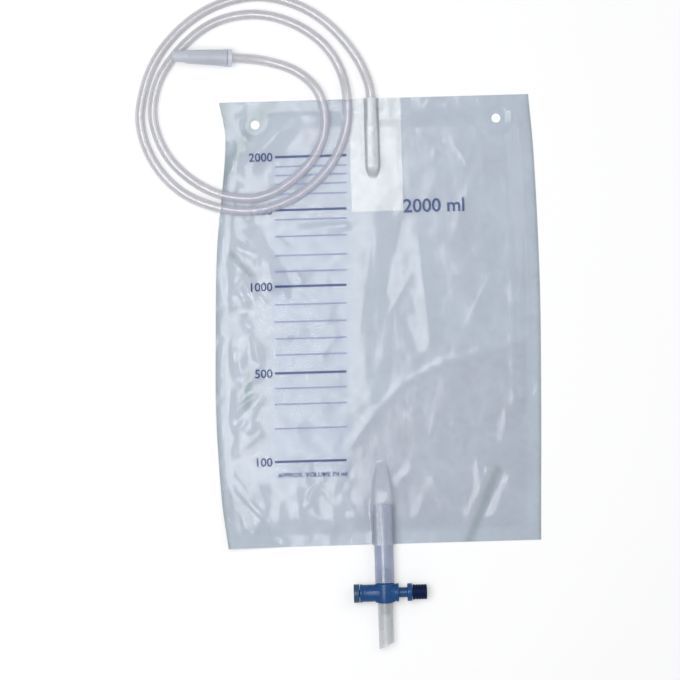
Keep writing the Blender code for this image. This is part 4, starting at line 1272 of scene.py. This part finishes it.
class DRAINAGE_BAG_OT_sleeve(bpy.types.Operator):
    """Flat non-return sleeve round the inlet's inner end: two milky leaves"""

    bl_idname = "drainage_bag.sleeve"
    bl_label = "Non-return sleeve"

    step = 0.001
    side_room = 0.0002
    loose_from = 0.020            # below the top edge
    loose_to = 0.004              # above the sleeve's foot

    def execute(self, context):
        left, right = SLEEVE_SHIFT - SLEEVE_WIDTH / 2, SLEEVE_SHIFT + SLEEVE_WIDTH / 2
        lines = middle_columns()
        lines = lines[(lines > left + self.side_room) & (lines < right - self.side_room)]
        rows = np.linspace(TOP, TOP - SLEEVE_LENGTH, round(SLEEVE_LENGTH / self.step) + 1)
        x, y = np.meshgrid([left, *lines, right], rows)
        points = np.stack([x.ravel(), y.ravel()], axis=1)
        faces = grid_faces(all_cells(*x.shape))
        back, _ = thin_sheet("sleeve_back", points, faces, self.back_leaf, LEAF,
                             sleeve_material("sleeve_back_film", colours().sleeve_film, solid=1.0))
        front, _ = thin_sheet("sleeve_front", points, faces, self.front_leaf, LEAF,
                              sleeve_material("sleeve_front_film", colours().sleeve_film,
                                              solid=0.44))
        ride_on(front, "bag", "sleeve_film", "valve_leaf_front")
        ride_on(back, "bag", "sleeve_film", "valve_leaf_back")
        return {"FINISHED"}

    def back_leaf(self, x, y):
        return WELD_LEVEL + back_lift(x, y)

    def front_leaf(self, x, y):
        loose = smooth_step((TOP - self.loose_from - y) / self.loose_from)
        loose = loose * smooth_step((y - TOP + SLEEVE_LENGTH) / self.loose_to)
        wave = noise_field(x, y, *LEAF_WAVE) * loose
        return FRONT_LEAF_LEVEL + inlet_lift(x, y) + np.maximum(wave, 0.0)


class DRAINAGE_BAG_OT_print(bpy.types.Operator):
    """Printed scale: ruled marks with their numerals, and plain lettering"""

    bl_idname = "drainage_bag.print"
    bl_label = "Printed scale"

    foot_drop = 0.0095            # small line below the scale
    foot_height = 0.0031
    foot_indent = 0.002
    capacity_height = 0.0092
    capacity_place = (0.0205, 0.1165)

    def execute(self, context):
        ink = ink_material("scale_ink", colours().ink)
        pale = ink_material("scale_pale_ink", colours().pale_ink)
        marks, fine_marks, numerals = [], [], []
        for value, y in MARKS:
            if value in NAMED_MARKS:
                marks.append(line_patch(mark_middle(y), y, MARK_LENGTH, sizes().major_mark))
                right = mark_middle(y) - MARK_LENGTH / 2 - NUMERAL_GAP
                numerals.append(lettering(str(value), sizes().numeral, y, right=right))
            else:
                fine_marks.append(line_patch(mark_middle(y), y, MARK_LENGTH, sizes().minor_mark))
        foot = MARKS[0][1] - self.foot_drop
        left = mark_middle(foot) - MARK_LENGTH / 2 + self.foot_indent
        numerals.append(lettering("APPROX. VOLUME IN ml", self.foot_height, foot, left=left))
        left, y = self.capacity_place
        capacity = [lettering("2000 ml", self.capacity_height, y, left=left)]
        for name, patches, material in (
                ("scale_marks", marks, ink), ("scale_fine_marks", fine_marks, pale),
                ("scale_numerals", numerals, ink), ("capacity_lettering", capacity, ink)):
            ride_on(printed(name, patches, material), "bag", None)
        return {"FINISHED"}


class DRAINAGE_BAG_OT_outlet(bpy.types.Operator):
    """Wide bluish outlet tube, and the short spout below the tap"""

    bl_idname = "drainage_bag.outlet"
    bl_label = "Outlet tube and spout"

    start = BOSS_HALF + GAP
    lip = 0.0003
    spans = 16

    def execute(self, context):
        bluish = tube_material("bluish_tube", colours().bluish_tube, middle=0.42, edge=0.9,
                               rough=0.16)
        tube = self.make_tube("outlet_hose", 1, OUTLET_DROP + OUTLET_REACH, OUTLET_RADIUS,
                              OUTLET_WALL, bluish)
        ride_on(tube, "bag", "bluish_tube", "outlet_tube")
        grey = tube_material("grey_tube", colours().spout, middle=0.40, edge=0.9, rough=0.3)
        spout = self.make_tube("spout_hose", -1, self.start + SPOUT_LENGTH, SPOUT_TUBE / 2,
                               SPOUT_WALL, grey)
        for vertex in spout.data.vertices:
            share = np.clip((-vertex.co.x - self.start) / SPOUT_LENGTH, 0, 1) ** 3
            vertex.co.x += SPOUT_SLANT * (0.5 - vertex.co.y / SPOUT_TUBE) * share
        ride_on(spout, "bag", "grey_tube", "spout_tube")
        return {"FINISHED"}

    def make_tube(self, name, way, end, outer, wall, material):
        """A tube from the tap's boss, up or down, with rounded lips and rings along it."""
        first, length = self.start + self.lip, end - self.start - 2 * self.lip
        rings = [first + length * i / self.spans for i in range(self.spans + 1)]
        outline = [(self.start, outer - wall / 2), *((at, outer) for at in rings),
                   (end, outer - wall / 2), *((at, outer - wall) for at in reversed(rings))]
        return along_y(turned(name, [(way * at, r) for at, r in outline], material, closed=True))


class DRAINAGE_BAG_OT_tap(bpy.types.Operator):
    """Push-pull drain tap: housing, spool with its seals, stop disc and knob"""

    bl_idname = "drainage_bag.tap"
    bl_label = "Drain tap"

    rib = 0.00035                 # height of the rings at the barrel's two ends
    lower_spigot = 0.85           # its length, as a share of the upper one's
    dish = 0.0006
    grips = 4                     # fine grooves round the knob
    first_grip = 0.0016
    grip_pitch = 0.0019
    grip_width = 0.0011
    grip_depth = 0.0003

    def execute(self, context):
        blue = moulded_material("tap_blue", colours().tap_blue, rough=0.26, specular=0.28)
        navy = moulded_material("tap_navy", colours().tap_navy, rough=0.42, specular=0.1)
        disc = moulded_material("tap_disc_blue", colours().tap_disc, rough=0.30, specular=0.4)
        rubber = moulded_material("seal_rubber", colours().rubber, rough=0.5, grain=1500.0,
                                  specular=0.3)
        ride_on(self.make_housing(blue), "bag", "tap_blue", "tap_body")
        ride_on(self.make_spool(blue), "tap_plunger", "tap_blue", "tap_spool")
        middle = BARREL_BORE / 2 - GAP - RING / 2
        for number, at in enumerate(SEALS, start=1):
            section = [(at + RING / 2 * math.cos(a), middle + RING / 2 * math.sin(a))
                       for a in np.linspace(0, math.tau, 16, endpoint=False)]
            ring = turned(f"o_ring_{number}", section, rubber, closed=True, sides=PORT_SIDES)
            on_tap(ring)
            ride_on(ring, "tap_plunger", "seal_rubber", f"seal_ring_{number}")
        ride_on(self.make_stop(disc), "tap_plunger", "tap_navy", "tap_end_flange")
        ride_on(self.make_knob(navy), "tap_plunger", "tap_navy", "tap_knob")
        return {"FINISHED"}

    def make_housing(self, material):
        radius, left, right = BARREL_DIAMETER / 2, -BARREL_LEFT, BARREL_RIGHT
        flat, foot = 0.0016, 0.0018
        barrel = on_tap(turned("tap_housing", [
            (left, 0.0), (left, radius), (left + flat, radius), (left + foot, radius - self.rib),
            (right - foot, radius - self.rib), (right - flat, radius), (right, radius),
            (right, 0.0)], material, soft=0.0004))
        upper = OUTLET_RADIUS - OUTLET_WALL - GAP
        lower = SPOUT_TUBE / 2 - SPOUT_WALL - GAP
        high = BOSS_HALF + SPIGOT_LENGTH
        low = -BOSS_HALF - SPIGOT_LENGTH * self.lower_spigot
        branch = stepped(low, lower, -BOSS_HALF, BOSS_DIAMETER / 2, BOSS_HALF, upper, high)
        branch = along_y(turned("branch", branch, None, soft=0.0006))
        past, bore = 2 * BARREL_LEFT, BARREL_BORE / 2
        wide = bore + SPIGOT_WALL
        hole = on_tap(turned("bore", stepped(-past, bore, past), None))
        port = stepped(-past, lower - SPIGOT_WALL, -wide, PORT / 2, wide, upper - SPIGOT_WALL, past)
        port = along_y(turned("port", port, None, sides=PORT_SIDES))
        return carve(barrel, [(branch, "UNION"), (hole, "DIFFERENCE"), (port, "DIFFERENCE")])

    def make_spool(self, material):
        land = BARREL_BORE / 2 - LAND_CLEARANCE
        groove = BARREL_BORE / 2 - GAP - RING - GAP
        half = RING / 2 + GAP
        side = half + GROOVE_LAND
        near, far, outer = SEALS
        left = -BARREL_LEFT - GAP
        stub, shaft, waist, collar, rod = (
            size / 2 for size in (END_STUB, SPOOL_SHAFT, SPOOL_WAIST, COLLAR_DIAMETER, KNOB_STUB))
        knob = COLLAR_X + COLLAR_THICKNESS
        end = left - END_FLANGE_THICKNESS + SOCKET_FLOOR + GAP
        guide = -BARREL_LEFT + TRAVEL + SPOOL_GUIDE
        rod_end = knob + KNOB_LENGTH - SOCKET_FLOOR
        outline = stepped(end, stub, left + GAP, land, guide)[:-1]
        outline += [(guide + EDGE, shaft), (near - side - EDGE, shaft)]
        outline += stepped(near - side, land, near - half, groove, near + half, land,
                           far - half, groove, far + half, land, far + side, waist,
                           outer - side, land, outer - half, groove, outer + half, land,
                           COLLAR_X, collar, knob, rod, rod_end)[1:]
        return on_tap(turned("tap_spindle", outline, material, soft=0.0004))

    def make_stop(self, material):
        right = -BARREL_LEFT - GAP
        left = right - END_FLANGE_THICKNESS
        floor = left + self.dish + SOCKET_FLOOR
        outer, hole = END_FLANGE_DIAMETER / 2, END_STUB / 2 + GAP
        dished, rim = outer * 0.55, outer * 0.66
        outline = [(left + self.dish, 0.0), (left + self.dish, dished), (left, rim)]
        outline += stepped(left, outer, right, hole, floor)[1:]
        return on_tap(turned("tap_stop_disc", outline, material, soft=0.0005))

    def make_knob(self, material):
        left = COLLAR_X + COLLAR_THICKNESS + GAP
        right = left + KNOB_LENGTH
        outer, hole = KNOB_DIAMETER / 2, KNOB_STUB / 2 + GAP
        deep = self.grip_depth
        outline = stepped(right - SOCKET_FLOOR, hole, left)[:-1] + [(left, outer)]
        for i in range(self.grips):
            at = left + self.first_grip + i * self.grip_pitch
            end = at + self.grip_width
            outline += [(at, outer), (at + deep, outer - deep)]
            outline += [(end - deep, outer - deep), (end, outer)]
        outline += [(right - 2 * deep, outer), (right, outer - 2 * deep), (right, 0.0)]
        return on_tap(turned("tap_push_knob", outline, material, soft=0.0004))


STEPS = (DRAINAGE_BAG_OT_stage, DRAINAGE_BAG_OT_inlet, DRAINAGE_BAG_OT_films,
         DRAINAGE_BAG_OT_sleeve, DRAINAGE_BAG_OT_print, DRAINAGE_BAG_OT_outlet,
         DRAINAGE_BAG_OT_tap)


class DRAINAGE_BAG_PT_panel(bpy.types.Panel):
    """Sizes, colours and the pieces in the order in which they are made"""

    bl_idname = "DRAINAGE_BAG_PT_panel"
    bl_label = "Drainage Bag"
    bl_space_type = "VIEW_3D"
    bl_region_type = "UI"
    bl_category = "Drainage Bag"

    def draw(self, context):
        for group in (sizes(), colours()):
            box = self.layout.box()
            for name in group.__annotations__:
                box.prop(group, name)
        for step in STEPS:
            self.layout.operator(step.bl_idname)


CLASSES = (DrainageBagSizes, DrainageBagColours, *STEPS, DRAINAGE_BAG_PT_panel)


def register():
    for cls in CLASSES:
        bpy.utils.register_class(cls)
    bpy.types.Scene.drainage_bag_sizes = PointerProperty(type=DrainageBagSizes)
    bpy.types.Scene.drainage_bag_colours = PointerProperty(type=DrainageBagColours)


def unregister():
    del bpy.types.Scene.drainage_bag_colours
    del bpy.types.Scene.drainage_bag_sizes
    for cls in reversed(CLASSES):
        bpy.utils.unregister_class(cls)


def main():
    register()
    for step in STEPS:
        group, name = step.bl_idname.split(".")
        getattr(getattr(bpy.ops, group), name)()


if __name__ == "__main__":
    main()
